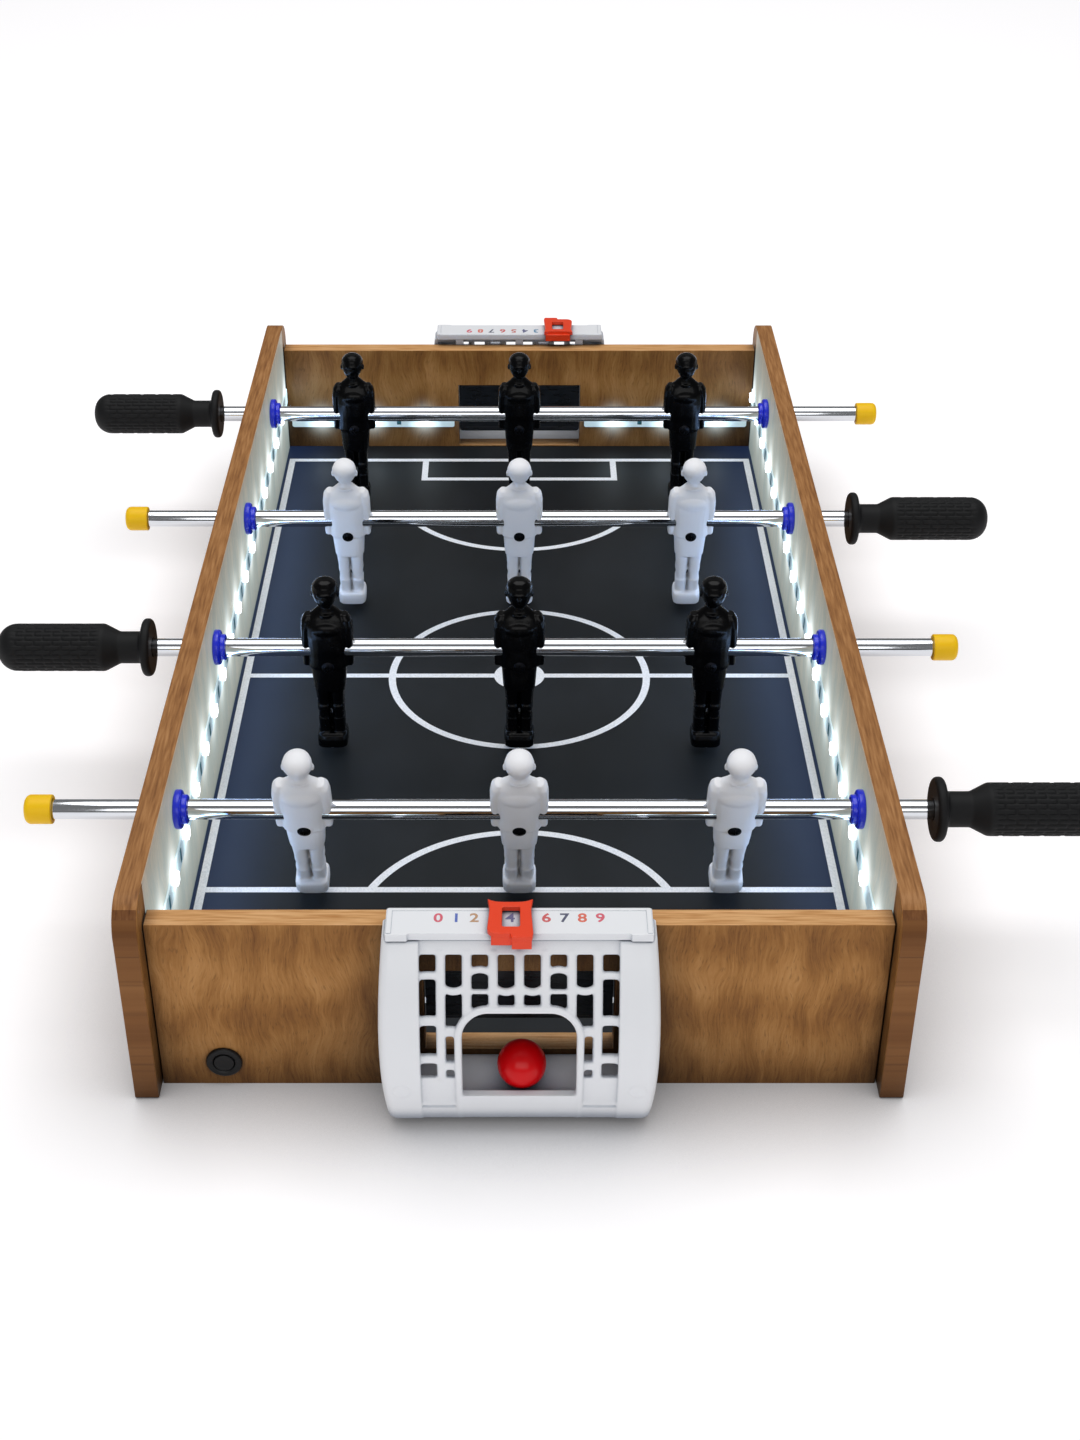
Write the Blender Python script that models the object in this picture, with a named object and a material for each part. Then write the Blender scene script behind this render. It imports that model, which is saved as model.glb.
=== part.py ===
"""Tabletop foosball table: wooden cabinet, four player rods, two goal catches with
score sliders, a lit playfield and its battery box.

X runs along the rods, the near end of the table is at -Y and Z is up.
The origin is the middle of the cabinet on the surface that it stands on.
"""

import math

import bmesh
import bpy
from mathutils import Matrix, Vector

MM = 0.001
GAP = 0.3 * MM                      # air left between two pieces that touch

# Cabinet boards
CABINET_WIDTH = 320 * MM
CABINET_LENGTH = 603 * MM
BOARD = 10 * MM                     # thickness of all four boards
BOARD_ABOVE_ROD = 21 * MM           # side board left above the rods' axis
SIDE_CORNER_RADIUS = 14 * MM
SIDE_FOOT_RADIUS = 1.5 * MM
END_BOARD_INSET = 9.5 * MM          # end boards stand in from the side boards' ends
END_BOARD_HEIGHT = 85.5 * MM
END_BOARD_SEAM = 0.5 * MM

# Playfield and the strips of wood that carry it
FIELD_TOP = 19 * MM
FIELD_THICKNESS = 3 * MM
CLEAT_WIDTH = 10 * MM
CLEAT_HEIGHT = 11 * MM
CLEAT_END_ROOM = 12 * MM            # from the frame's ends to the end boards

# Rods
ROD_AXIS_HEIGHT = 78 * MM
ROD_DIAMETER = 9 * MM
ROD_WALL = 1 * MM
END_ROD_TO_BOARD = 78.6 * MM        # from an end board's inner face to the first rod
FLANGE_TO_BOARD = 20 * MM           # handle flange to the side board, rod centred
CAP_REACH = 55 * MM                 # outer end of the cap beyond the side board
ROD_FACETS = 20

# Handle, a turned rubber grip
HANDLE_LENGTH = 76 * MM
HANDLE_FLANGE_DIAMETER = 28.5 * MM
HANDLE_FLANGE_THICKNESS = 4.2 * MM
HANDLE_NECK_DIAMETER = 15.8 * MM
HANDLE_NECK_LENGTH = 10 * MM
HANDLE_GRIP_DIAMETER = 23.5 * MM
HANDLE_SHOULDER = 7 * MM            # taper from the neck to the grip
HANDLE_GRIP_WALL_END = 17 * MM      # solid rubber between the rod's end and the dome's tip
TURNED_FACETS = 16

# End cap
CAP_DIAMETER = 13 * MM
CAP_LENGTH = 12 * MM
CAP_END_WALL = 2.5 * MM
CAP_ROUNDING = 2 * MM

# Bearing bush
BUSH_FLANGE_DIAMETER = 17.5 * MM
BUSH_FLANGE_THICKNESS = 3.2 * MM
BUSH_HUB_LENGTH = 2.4 * MM          # hub that stands further in than the flange
BUSH_WALL = 1.7 * MM
RUNNING_CLEARANCE = 0.3 * MM

# Players
PLAYER_PITCH = 94 * MM
FAR_KEEPER_PITCH = 99.5 * MM        # the far row's players stand a little wider
FOOT_CLEARANCE = 4 * MM             # from the foot to the field
HEAD_REACH = 38.5 * MM              # top of the head above the rod's axis
SHOULDER_WIDTH = 25.4 * MM
HEAD_WIDTH = 13.3 * MM
CHEST_DEPTH_AROUND_ROD = 2.4 * MM   # plastic in front of and behind the rod
LEG_WIDTH = 13.4 * MM
FOOT_WIDTH = 15.2 * MM
FOOT_DEPTH = 15 * MM
FOOT_HEIGHT = 8 * MM
ARM_REACH_BELOW_ROD = 8.6 * MM

# Rows from the far end to the near end: colour, handle side and resting tilt
ROWS = (
    ("black", "left", 0.0),
    ("white", "right", 9.0),
    ("black", "left", 0.0),
    ("white", "right", 17.5),
)

# Goal hole in the end boards
GOAL_WIDTH = 78 * MM
GOAL_HEIGHT = 42 * MM
GOAL_SILL = 0.5 * MM                # board left above the field

# Goal flap, a smoked plastic sheet that hangs in the goal hole from its upper edge
FLAP_THICKNESS = 1.5 * MM
FLAP_LENGTH = 31.5 * MM
FLAP_SIDE_ROOM = 0.4 * MM
FLAP_TOP_ROOM = 0.5 * MM
FLAP_AXIS_BELOW_TOP = 0.7 * MM
FLAP_CORNER = 2 * MM
FLAP_FROM_FIELD_SIDE = 1.5 * MM     # axis to the end board's inner face

# Goal catch, the white housing outside the end board
CATCH_WALL = 2.2 * MM
CATCH_FOOT = 4 * MM                 # height of its lowest edge
CATCH_ABOVE_BOARD = 3.5 * MM
CATCH_HALF_WIDTHS = (53.5 * MM, 55.8 * MM, 54 * MM)      # foot, belly, top
CATCH_DEPTHS = (25 * MM, 31 * MM, 15 * MM)               # foot, belly, top
CATCH_BELLY_HEIGHT = 50 * MM
CATCH_CORNER_RADIUS = 4 * MM
CATCH_FLOOR_BELOW_FIELD = 2 * MM
CATCH_LEVELS = 8
NET_RECESS = 1.5 * MM
NET_HALF_WIDTH = 39 * MM
NET_COLUMN_PITCH = 10.3 * MM
NET_SLOT_WIDTH = 6.4 * MM
NET_TOP_MARGIN = 5.3 * MM
# Openings of each column from the middle outwards, as (top, bottom) below the net's top
NET_OPENINGS = (
    ((0.0, 10.0), (13.3, 18.3)),
    ((0.0, 5.4), (8.2, 12.8), (14.7, 18.3)),
    ((0.0, 10.0), (13.0, 27.0), (32.0, 43.8), (48.5, 52.0)),
    ((0.0, 5.6), (9.2, 22.6), (27.0, 39.6), (44.6, 52.0)),
)
DOOR_WIDTH = 45 * MM
DOOR_HEIGHT = 39.8 * MM
DOOR_SILL = 4.5 * MM                # lip that keeps the ball on the floor
DOOR_CORNER_RADIUS = 10 * MM
DOOR_FRAME = 3.6 * MM

# Score rail and slider on top of the goal catch
RAIL_WIDTH = 105 * MM
RAIL_THICKNESS = 3.7 * MM
RAIL_OVER_BOARD = 2 * MM
RAIL_NOTCH = 3 * MM
DIGIT_PITCH = 7.08 * MM
NEAR_SCORE = 4
FAR_SCORE = 1
SLIDER_WIDTH = 18 * MM
SLIDER_PLATE = 2.2 * MM
SLIDER_WALL = 2 * MM
SLIDER_WINDOW_WIDTH = 7 * MM
SLIDER_WINDOW_DEPTH = 12 * MM
SLIDER_TAB = 2.4 * MM

# Ball
BALL_DIAMETER = 20 * MM
BALL_OFFSET = 1 * MM
BALL_FROM_NET = 0.6 * MM            # the ball lies against the lip of the door

# Light strips
STRIP_WIDTH = 10 * MM
STRIP_THICKNESS = 0.8 * MM
SIDE_STRIP_HEIGHT = 56 * MM
END_STRIP_HEIGHT = 38 * MM
STRIP_END_ROOM = 3 * MM

# Switch in the near end board
SWITCH_FROM_CORNER = 27 * MM        # to the side board's inner face
SWITCH_HEIGHT = 12.6 * MM
SWITCH_BEZEL_DIAMETER = 15 * MM
SWITCH_BEZEL_THICKNESS = 1.6 * MM
SWITCH_BARREL_DIAMETER = 11 * MM
SWITCH_BARREL_LENGTH = 8.4 * MM
BUTTON_DIAMETER = 8.6 * MM
BUTTON_PROUD = 1.6 * MM
BUTTON_TRAVEL = 1.5 * MM

# Battery box under the field
CELL_DIAMETER = 10.4 * MM
CELL_LENGTH = 44 * MM
CELL_COUNT = 2
CELL_ROOM = 0.4 * MM
BOX_WALL = 2 * MM
BOX_ROOF = 1.2 * MM
COVER_THICKNESS = 1.5 * MM
BOX_FROM_NEAR_BOARD = 40 * MM
BOX_FROM_CENTRE = 60 * MM
WIRE_DIAMETER = 2.4 * MM

# Worked out from the sizes above
INNER_HALF_WIDTH = CABINET_WIDTH / 2 - BOARD
END_FACE = CABINET_LENGTH / 2 - END_BOARD_INSET
INNER_HALF_LENGTH = END_FACE - BOARD
SIDE_HEIGHT = ROD_AXIS_HEIGHT + BOARD_ABOVE_ROD
ROD_RADIUS = ROD_DIAMETER / 2
ROW_PITCH = 2 * (INNER_HALF_LENGTH - END_ROD_TO_BOARD) / (len(ROWS) - 1)
BUSH_RADIUS = ROD_RADIUS + RUNNING_CLEARANCE + BUSH_WALL
CATCH_TOP = END_BOARD_HEIGHT + CATCH_ABOVE_BOARD
CATCH_FLOOR = FIELD_TOP - CATCH_FLOOR_BELOW_FIELD
RAIL_BOTTOM = CATCH_TOP + GAP
RAIL_TOP = RAIL_BOTTOM + RAIL_THICKNESS
RAIL_FRONT = CATCH_DEPTHS[2]


def clear_scene():
    for item in list(bpy.data.objects):
        bpy.data.objects.remove(item, do_unlink=True)


def finish(name, colour, roughness, metallic=0.0):
    """One Principled material."""
    made = bpy.data.materials.new(name)
    made.use_nodes = True
    shader = made.node_tree.nodes["Principled BSDF"]
    shader.inputs["Base Color"].default_value = (*colour, 1.0)
    shader.inputs["Roughness"].default_value = roughness
    shader.inputs["Metallic"].default_value = metallic
    return made


def empty(name, location, parent=None, turn=(0.0, 0.0, 0.0)):
    guide = bpy.data.objects.new(name, None)
    bpy.context.collection.objects.link(guide)
    guide.location = location
    guide.rotation_euler = turn
    guide.parent = parent
    return guide


def add_part(name, mesh, material, parent=None, location=(0.0, 0.0, 0.0), turn=(0.0, 0.0, 0.0)):
    """Place one sub-part; copies of a piece share its mesh."""
    part = bpy.data.objects.new(name, mesh)
    bpy.context.collection.objects.link(part)
    part.location = location
    part.rotation_euler = turn
    part.parent = parent
    if not mesh.materials:
        mesh.materials.append(material)
    return part


def to_mesh(bm, name):
    """Turn a bmesh into a mesh, faces out, round stretches smooth."""
    bmesh.ops.recalc_face_normals(bm, faces=bm.faces)
    mesh = bpy.data.meshes.new(name)
    bm.to_mesh(mesh)
    bm.free()
    mesh.shade_smooth()
    mesh.set_sharp_from_angle(angle=math.radians(35))
    return mesh


def turned(name, profile, facets, closed=False):
    """Body turned about the X axis from (x, radius) points; radius 0 is a point on the axis."""
    bm = bmesh.new()
    rings = []
    for x, radius in profile:
        count = facets if radius > 0 else 1
        turns = [2 * math.pi * (step + 0.5) / count for step in range(count)]
        rings.append([bm.verts.new((x, radius * math.cos(t), radius * math.sin(t))) for t in turns])
    pairs = list(zip(rings, rings[1:]))
    if closed:
        pairs.append((rings[-1], rings[0]))
    for first, second in pairs:
        for step in range(facets):
            after = step + 1
            corners = (
                first[step % len(first)],
                first[after % len(first)],
                second[after % len(second)],
                second[step % len(second)],
            )
            bm.faces.new(list(dict.fromkeys(corners)))
    return to_mesh(bm, name)


def lofted(name, rings):
    """Body through rings of equally many points, closed with a flat face at each end."""
    bm = bmesh.new()
    loops = [[bm.verts.new(point) for point in ring] for ring in rings]
    for first, second in zip(loops, loops[1:]):
        for step in range(len(first)):
            after = (step + 1) % len(first)
            bm.faces.new((first[step], first[after], second[after], second[step]))
    bm.faces.new(loops[0])
    bm.faces.new(loops[-1])
    return to_mesh(bm, name)


def prism(name, outline, low, high, across="X"):
    """Straight body with a flat outline, extruded from low to high along one axis."""
    place = {
        "X": lambda u, v, w: (w, u, v),
        "Y": lambda u, v, w: (u, w, v),
        "Z": lambda u, v, w: (u, v, w),
    }[across]
    return lofted(name, [[place(u, v, w) for u, v in outline] for w in (low, high)])


def filleted(corners, steps=4):
    """Outline whose corners (u, v, radius) are rounded by arcs."""
    points = []
    for index, (u, v, radius) in enumerate(corners):
        here = Vector((u, v))
        if radius == 0:
            points.append((u, v))
            continue
        before = (Vector(corners[index - 1][:2]) - here).normalized()
        after = (Vector(corners[(index + 1) % len(corners)][:2]) - here).normalized()
        half = before.angle(after) / 2
        centre = here + (before + after).normalized() * (radius / math.sin(half))
        start = here + before * (radius / math.tan(half)) - centre
        end = here + after * (radius / math.tan(half)) - centre
        first = math.atan2(start.y, start.x)
        sweep = math.remainder(math.atan2(end.y, end.x) - first, 2 * math.pi)
        for step in range(steps + 1):
            angle = first + sweep * step / steps
            points.append((centre.x + radius * math.cos(angle), centre.y + radius * math.sin(angle)))
    return points


def block(name, low, high):
    """Plain rectangular body between two corners."""
    outline = [(low[0], low[1]), (high[0], low[1]), (high[0], high[1]), (low[0], high[1])]
    return prism(name, outline, low[2], high[2], across="Z")


def moved(mesh, offset, turn=None):
    """Copy of a mesh, turned and then shifted."""
    copy = mesh.copy()
    copy.transform(Matrix.Translation(offset) @ (turn or Matrix.Identity(4)))
    return copy


def joined(name, meshes):
    """Several separate bodies in one mesh, for use as one cutter."""
    bm = bmesh.new()
    for mesh in meshes:
        bm.from_mesh(mesh)
    return to_mesh(bm, name)


def carve(mesh, tool_mesh, operation="DIFFERENCE"):
    """The mesh with the tool's body cut out of it, or joined to it."""
    body = bpy.data.objects.new(mesh.name, mesh)
    tool = bpy.data.objects.new("cutter", tool_mesh)
    for item in (body, tool):
        bpy.context.collection.objects.link(item)
    boolean = body.modifiers.new("cut", "BOOLEAN")
    boolean.solver = "EXACT"
    boolean.operation = operation
    boolean.object = tool
    graph = bpy.context.evaluated_depsgraph_get()
    result = bpy.data.meshes.new_from_object(body.evaluated_get(graph))
    for item in (body, tool):
        bpy.data.objects.remove(item, do_unlink=True)
    result.name = mesh.name
    result.shade_smooth()
    result.set_sharp_from_angle(angle=math.radians(35))
    return result


def drill(name, radius, low, high, facets=TURNED_FACETS):
    """Round cutter along X."""
    return turned(name, [(low, 0.0), (low, radius), (high, radius), (high, 0.0)], facets)


def row_places():
    """Y of each rod's axis, from the far end to the near end."""
    middle = (len(ROWS) - 1) / 2
    return [(middle - index) * ROW_PITCH for index in range(len(ROWS))]


def bow(height, low, belly, top):
    """Value at a height of the catch, on the parabola through its foot, belly and top."""
    a, b, c = CATCH_FOOT, CATCH_BELLY_HEIGHT, CATCH_TOP
    at_low = low * (height - b) * (height - c) / ((a - b) * (a - c))
    at_belly = belly * (height - a) * (height - c) / ((b - a) * (b - c))
    at_top = top * (height - a) * (height - b) / ((c - a) * (c - b))
    return at_low + at_belly + at_top


def side_board_mesh():
    """Side board with its upper corners rounded and a bore for each bush."""
    half = CABINET_LENGTH / 2
    corners = [
        (-half, 0.0, SIDE_FOOT_RADIUS),
        (half, 0.0, SIDE_FOOT_RADIUS),
        (half, SIDE_HEIGHT, SIDE_CORNER_RADIUS),
        (-half, SIDE_HEIGHT, SIDE_CORNER_RADIUS),
    ]
    board = prism("side_board", filleted(corners), 0.0, BOARD)
    bores = []
    for y in row_places():
        bore = drill("bore", BUSH_RADIUS + GAP, -BOARD, 2 * BOARD)
        bores.append(moved(bore, (0.0, y, ROD_AXIS_HEIGHT)))
    return carve(board, joined("bores", bores))


def end_board_mesh(with_switch):
    """End board with the goal hole; it stands at the near end."""
    half = INNER_HALF_WIDTH - END_BOARD_SEAM
    low, high = -END_FACE, -END_FACE + BOARD
    board = block("end_board", (-half, low, 0.0), (half, high, END_BOARD_HEIGHT))
    sill = FIELD_TOP + GOAL_SILL
    cutters = [block(
        "goal_hole",
        (-GOAL_WIDTH / 2, low - BOARD, sill),
        (GOAL_WIDTH / 2, high + BOARD, sill + GOAL_HEIGHT),
    )]
    if with_switch:
        bore = drill("bore", SWITCH_BARREL_DIAMETER / 2 + GAP, -BOARD, 2 * BOARD)
        along_y = Matrix.Rotation(math.radians(90), 4, "Z")
        cutters.append(moved(bore, (switch_x(), low, SWITCH_HEIGHT), along_y))
    return carve(board, joined("holes", cutters))


def switch_x():
    return -INNER_HALF_WIDTH + SWITCH_FROM_CORNER


def field_frame_mesh():
    """Strips glued into a U under the field, open at the near end for the wire."""
    top = FIELD_TOP - FIELD_THICKNESS - GAP
    outer = INNER_HALF_WIDTH - GAP
    inner = outer - CLEAT_WIDTH
    reach = INNER_HALF_LENGTH - CLEAT_END_ROOM
    outline = [
        (-outer, -reach),
        (-inner, -reach),
        (-inner, reach - CLEAT_WIDTH),
        (inner, reach - CLEAT_WIDTH),
        (inner, -reach),
        (outer, -reach),
        (outer, reach),
        (-outer, reach),
    ]
    return prism("field_frame", outline, top - CLEAT_HEIGHT, top, across="Z")


def build_cabinet(oak, pine, black_laminate):
    side = side_board_mesh()
    add_part("side_board_right", side, oak, location=(INNER_HALF_WIDTH, 0.0, 0.0))
    add_part("side_board_left", side, oak, location=(-INNER_HALF_WIDTH - BOARD, 0.0, 0.0))
    add_part("end_board_near", end_board_mesh(True), oak)
    add_part("end_board_far", end_board_mesh(False), oak, turn=(0.0, 0.0, math.pi))
    field = block(
        "playfield",
        (-INNER_HALF_WIDTH + GAP, -INNER_HALF_LENGTH + GAP, FIELD_TOP - FIELD_THICKNESS),
        (INNER_HALF_WIDTH - GAP, INNER_HALF_LENGTH - GAP, FIELD_TOP),
    )
    add_part("playfield", field, black_laminate)
    add_part("field_frame", field_frame_mesh(), pine)


def bush_mesh():
    """Flanged bush; its flange lies on the board's inner face and x runs outwards."""
    bore = ROD_RADIUS + RUNNING_CLEARANCE
    flange = BUSH_FLANGE_DIAMETER / 2
    edge = BUSH_FLANGE_THICKNESS / 4
    profile = [
        (BOARD, bore),
        (BOARD, BUSH_RADIUS),
        (-GAP, BUSH_RADIUS),
        (-GAP, flange - edge),
        (-GAP - edge, flange),
        (-GAP - BUSH_FLANGE_THICKNESS + edge, flange),
        (-GAP - BUSH_FLANGE_THICKNESS, flange - edge),
        (-GAP - BUSH_FLANGE_THICKNESS, BUSH_RADIUS),
        (-GAP - BUSH_FLANGE_THICKNESS - BUSH_HUB_LENGTH, BUSH_RADIUS),
        (-GAP - BUSH_FLANGE_THICKNESS - BUSH_HUB_LENGTH, bore),
    ]
    return turned("bearing", profile, TURNED_FACETS, closed=True)


def handle_mesh():
    """Grip with a stop flange; x = 0 is the flange's face towards the board."""
    bore = ROD_RADIUS + GAP
    bore_end = HANDLE_LENGTH - HANDLE_GRIP_WALL_END
    flange = HANDLE_FLANGE_DIAMETER / 2
    neck = HANDLE_NECK_DIAMETER / 2
    grip = HANDLE_GRIP_DIAMETER / 2
    thick = HANDLE_FLANGE_THICKNESS
    neck_start = thick * 1.5
    neck_end = neck_start + HANDLE_NECK_LENGTH
    grip_start = neck_end + HANDLE_SHOULDER
    profile = [
        (bore_end, 0.0),
        (bore_end, bore),
        (0.0, bore),
        (0.0, flange - thick * 0.4),
        (thick * 0.2, flange - thick * 0.1),
        (thick * 0.5, flange),
        (thick * 0.8, flange - thick * 0.1),
        (thick, flange - thick * 0.4),
        (neck_start, neck),
        (neck_end, neck),
        (neck_end + HANDLE_SHOULDER * 0.5, neck + (grip - neck) * 0.55),
        (grip_start, grip - (grip - neck) * 0.1),
        (grip_start + HANDLE_SHOULDER * 0.4, grip),
    ]
    dome = grip * 0.95
    for step in range(5):
        angle = math.radians(90) * step / 5
        profile.append((HANDLE_LENGTH - dome + dome * math.sin(angle), grip * math.cos(angle)))
    profile.append((HANDLE_LENGTH, 0.0))
    return turned("handle", profile, TURNED_FACETS)


def cap_mesh():
    """Push-on end cap; x = 0 is its open end."""
    bore = ROD_RADIUS + GAP
    outer = CAP_DIAMETER / 2
    bore_end = CAP_LENGTH - CAP_END_WALL
    profile = [
        (bore_end, 0.0),
        (bore_end, bore),
        (0.0, bore),
        (0.0, outer - 0.3 * CAP_ROUNDING),
        (0.4 * CAP_ROUNDING, outer),
        (CAP_LENGTH - CAP_ROUNDING, outer),
        (CAP_LENGTH - 0.3 * CAP_ROUNDING, outer - 0.3 * CAP_ROUNDING),
        (CAP_LENGTH, outer - CAP_ROUNDING),
        (CAP_LENGTH, 0.0),
    ]
    return turned("end_cap", profile, TURNED_FACETS)


def player_mesh():
    """Player around the rod's axis, standing upright, with the rod's bore through the chest."""
    foot = ROD_AXIS_HEIGHT - FIELD_TOP - FOOT_CLEARANCE
    ankle = foot - FOOT_HEIGHT
    chest = ROD_RADIUS + CHEST_DEPTH_AROUND_ROD
    shoulder = SHOULDER_WIDTH / 2
    head = HEAD_WIDTH / 2
    leg = LEG_WIDTH / 2
    hip = ARM_REACH_BELOW_ROD
    neck = HEAD_REACH - 2 * HEAD_WIDTH
    levels = [                                   # height, half width, half depth
        (-foot, FOOT_WIDTH / 2, FOOT_DEPTH / 2),
        (-ankle, FOOT_WIDTH / 2 - 0.4 * MM, FOOT_DEPTH / 2 - 1 * MM),
        (-ankle + 1 * MM, leg - 0.4 * MM, chest * 0.66),
        (-(ankle + hip) / 2, leg + 0.3 * MM, chest * 0.74),
        (-hip - 3 * MM, leg + 2.4 * MM, chest * 0.9),
        (-hip - 0.4 * MM, leg + 2.6 * MM, chest * 0.95),
        (-hip, shoulder - 0.4 * MM, chest * 0.96),
        (0.0, shoulder, chest),
        (neck + 5 * MM, shoulder - 0.3 * MM, chest * 0.92),
        (neck + 8.5 * MM, shoulder * 0.7, chest * 0.66),
        (neck + 9.5 * MM, head * 0.56, chest * 0.5),
        (HEAD_REACH - HEAD_WIDTH, head * 0.6, head * 0.64),
        (HEAD_REACH - HEAD_WIDTH * 0.7, head * 0.94, head * 0.98),
        (HEAD_REACH - HEAD_WIDTH * 0.35, head, head * 1.06),
        (HEAD_REACH - HEAD_WIDTH * 0.08, head * 0.66, head * 0.7),
        (HEAD_REACH, head * 0.3, head * 0.3),
    ]
    rings = []
    for height, half_width, half_depth in levels:
        cut = 0.45 * min(half_width, half_depth)
        corners = [
            (half_width, half_depth - cut),
            (half_width - cut, half_depth),
            (cut - half_width, half_depth),
            (-half_width, half_depth - cut),
            (-half_width, cut - half_depth),
            (cut - half_width, -half_depth),
            (half_width - cut, -half_depth),
            (half_width, cut - half_depth),
        ]
        rings.append([(x, y, height) for x, y in corners])
    bore = drill("bore", ROD_RADIUS + GAP, -SHOULDER_WIDTH, SHOULDER_WIDTH, ROD_FACETS)
    return carve(lofted("player", rings), bore)


def build_rows(blue, chrome, rubber, yellow, black, white):
    bush = bush_mesh()
    handle = handle_mesh()
    cap = cap_mesh()
    players = {"black": player_mesh(), "white": player_mesh()}
    colours = {"black": black, "white": white}
    half_width = CABINET_WIDTH / 2
    handle_place = half_width + FLANGE_TO_BOARD
    handle_end = handle_place + HANDLE_LENGTH - HANDLE_GRIP_WALL_END - GAP
    cap_place = half_width + CAP_REACH - CAP_LENGTH
    cap_end = cap_place + CAP_LENGTH - CAP_END_WALL - GAP
    inner = ROD_RADIUS - ROD_WALL
    profile = [(-cap_end, inner), (-cap_end, ROD_RADIUS), (handle_end, ROD_RADIUS), (handle_end, inner)]
    rod = turned("rod", profile, ROD_FACETS, closed=True)
    for index, (y, (team, handle_side, tilt)) in enumerate(zip(row_places(), ROWS)):
        number = index + 1
        turn = 0.0 if handle_side == "right" else math.pi
        row = empty(f"row_{number}", (0.0, y, ROD_AXIS_HEIGHT))
        men = empty(f"men_{number}", (0.0, 0.0, 0.0), row, (math.radians(tilt), 0.0, 0.0))
        for side_name, side_sign, face in (("right", 1, 0.0), ("left", -1, math.pi)):
            place = (side_sign * INNER_HALF_WIDTH, 0.0, 0.0)
            add_part(f"bearing_{number}_{side_name}", bush, blue, row, place, (0.0, 0.0, face))
        add_part(f"rod_{number}", rod, chrome, row, turn=(0.0, 0.0, turn))
        reach = handle_place if handle_side == "right" else -handle_place
        add_part(f"handle_{number}", handle, rubber, men, (reach, 0.0, 0.0), (0.0, 0.0, turn))
        reach = -cap_place if handle_side == "right" else cap_place
        add_part(f"end_cap_{number}", cap, yellow, men, (reach, 0.0, 0.0), (0.0, 0.0, turn + math.pi))
        pitch = FAR_KEEPER_PITCH if number == 1 else PLAYER_PITCH
        for place, letter in enumerate("abc"):
            offset = (place - 1) * pitch
            add_part(f"player_{number}_{letter}", players[team], colours[team], men, (offset, 0.0, 0.0))


def catch_levels(low, high):
    return [low + (high - low) * step / CATCH_LEVELS for step in range(CATCH_LEVELS + 1)]


def catch_shell(name, low, high, inset):
    """Bowed body of the catch between two heights, drawn in from the outside by the inset.

    Depth runs towards -Y from the end board's face; an inset body starts behind the face.
    """
    rings = []
    for height in catch_levels(low, high):
        half = bow(height, *CATCH_HALF_WIDTHS) - inset
        depth = bow(height, *CATCH_DEPTHS) - inset
        if inset:
            depth -= NET_RECESS
        back = -CATCH_WALL if inset else GAP
        radius = CATCH_CORNER_RADIUS - inset / 2
        corners = [(-half, -back, 0.0), (half, -back, 0.0), (half, -depth, radius), (-half, -depth, radius)]
        rings.append([(x, y - END_FACE, height) for x, y in filleted(corners, 2)])
    return lofted(name, rings)


def door_outline(grow, bottom):
    """Arch of the ball door in x and z, widened by the given amount."""
    half = DOOR_WIDTH / 2 + grow
    top = CATCH_FLOOR + DOOR_SILL + DOOR_HEIGHT + grow
    radius = DOOR_CORNER_RADIUS + grow
    corners = [(-half, bottom, 0.0), (half, bottom, 0.0), (half, top, radius), (-half, top, radius)]
    return filleted(corners)


def net_recess():
    """Shallow hollow of the net between the two side bands, around the door's frame."""
    rings = []
    net_top = CATCH_TOP - NET_TOP_MARGIN + NET_RECESS
    for height in catch_levels(CATCH_FOOT - CATCH_WALL, net_top):
        depth = bow(height, *CATCH_DEPTHS)
        corners = [
            (-NET_HALF_WIDTH, -depth + NET_RECESS),
            (NET_HALF_WIDTH, -depth + NET_RECESS),
            (NET_HALF_WIDTH, -depth - BOARD),
            (-NET_HALF_WIDTH, -depth - BOARD),
        ]
        rings.append([(x, y - END_FACE, height) for x, y in corners])
    frame = door_outline(DOOR_FRAME, CATCH_FOOT - 2 * CATCH_WALL)
    low = -END_FACE - max(CATCH_DEPTHS) - 2 * BOARD
    return carve(lofted("recess", rings), prism("frame", frame, low, -END_FACE, across="Y"))


def net_cutters():
    """Slots of the net, in columns mirrored about the middle, and the ball door."""
    near = -END_FACE - max(CATCH_DEPTHS) - BOARD
    far = -END_FACE - CATCH_DEPTHS[2] / 2
    net_top = CATCH_TOP - NET_TOP_MARGIN
    cutters = []
    for column, openings in enumerate(NET_OPENINGS):
        for side in (-1, 1):
            middle = side * (column + 0.5) * NET_COLUMN_PITCH
            left = middle - NET_SLOT_WIDTH / 2
            right = middle + NET_SLOT_WIDTH / 2
            for top, bottom in openings:
                high = net_top - top * MM
                low = net_top - bottom * MM
                cutters.append(block("slot", (left, near, low), (right, far, high)))
    door = door_outline(0.0, CATCH_FLOOR + DOOR_SILL)
    cutters.append(prism("door", door, near, far, across="Y"))
    return joined("net", cutters)


def catch_mesh():
    """Goal catch: bowed shell, open at the back and below its floor, with a net front."""
    shell = catch_shell("goal_catch", CATCH_FOOT, CATCH_TOP, 0.0)
    room = catch_shell("room", CATCH_FLOOR, CATCH_TOP - CATCH_WALL, CATCH_WALL)
    skirt = catch_shell("skirt", CATCH_FOOT - CATCH_WALL, CATCH_FLOOR - CATCH_WALL, CATCH_WALL)
    body = carve(shell, joined("rooms", [room, skirt]))
    body = carve(body, net_recess())
    return carve(body, net_cutters())


def flap_axis():
    """Y and Z of the near goal flap's hinge axis."""
    height = FIELD_TOP + GOAL_SILL + GOAL_HEIGHT - FLAP_TOP_ROOM - FLAP_AXIS_BELOW_TOP
    return -INNER_HALF_LENGTH - FLAP_FROM_FIELD_SIDE, height


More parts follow.
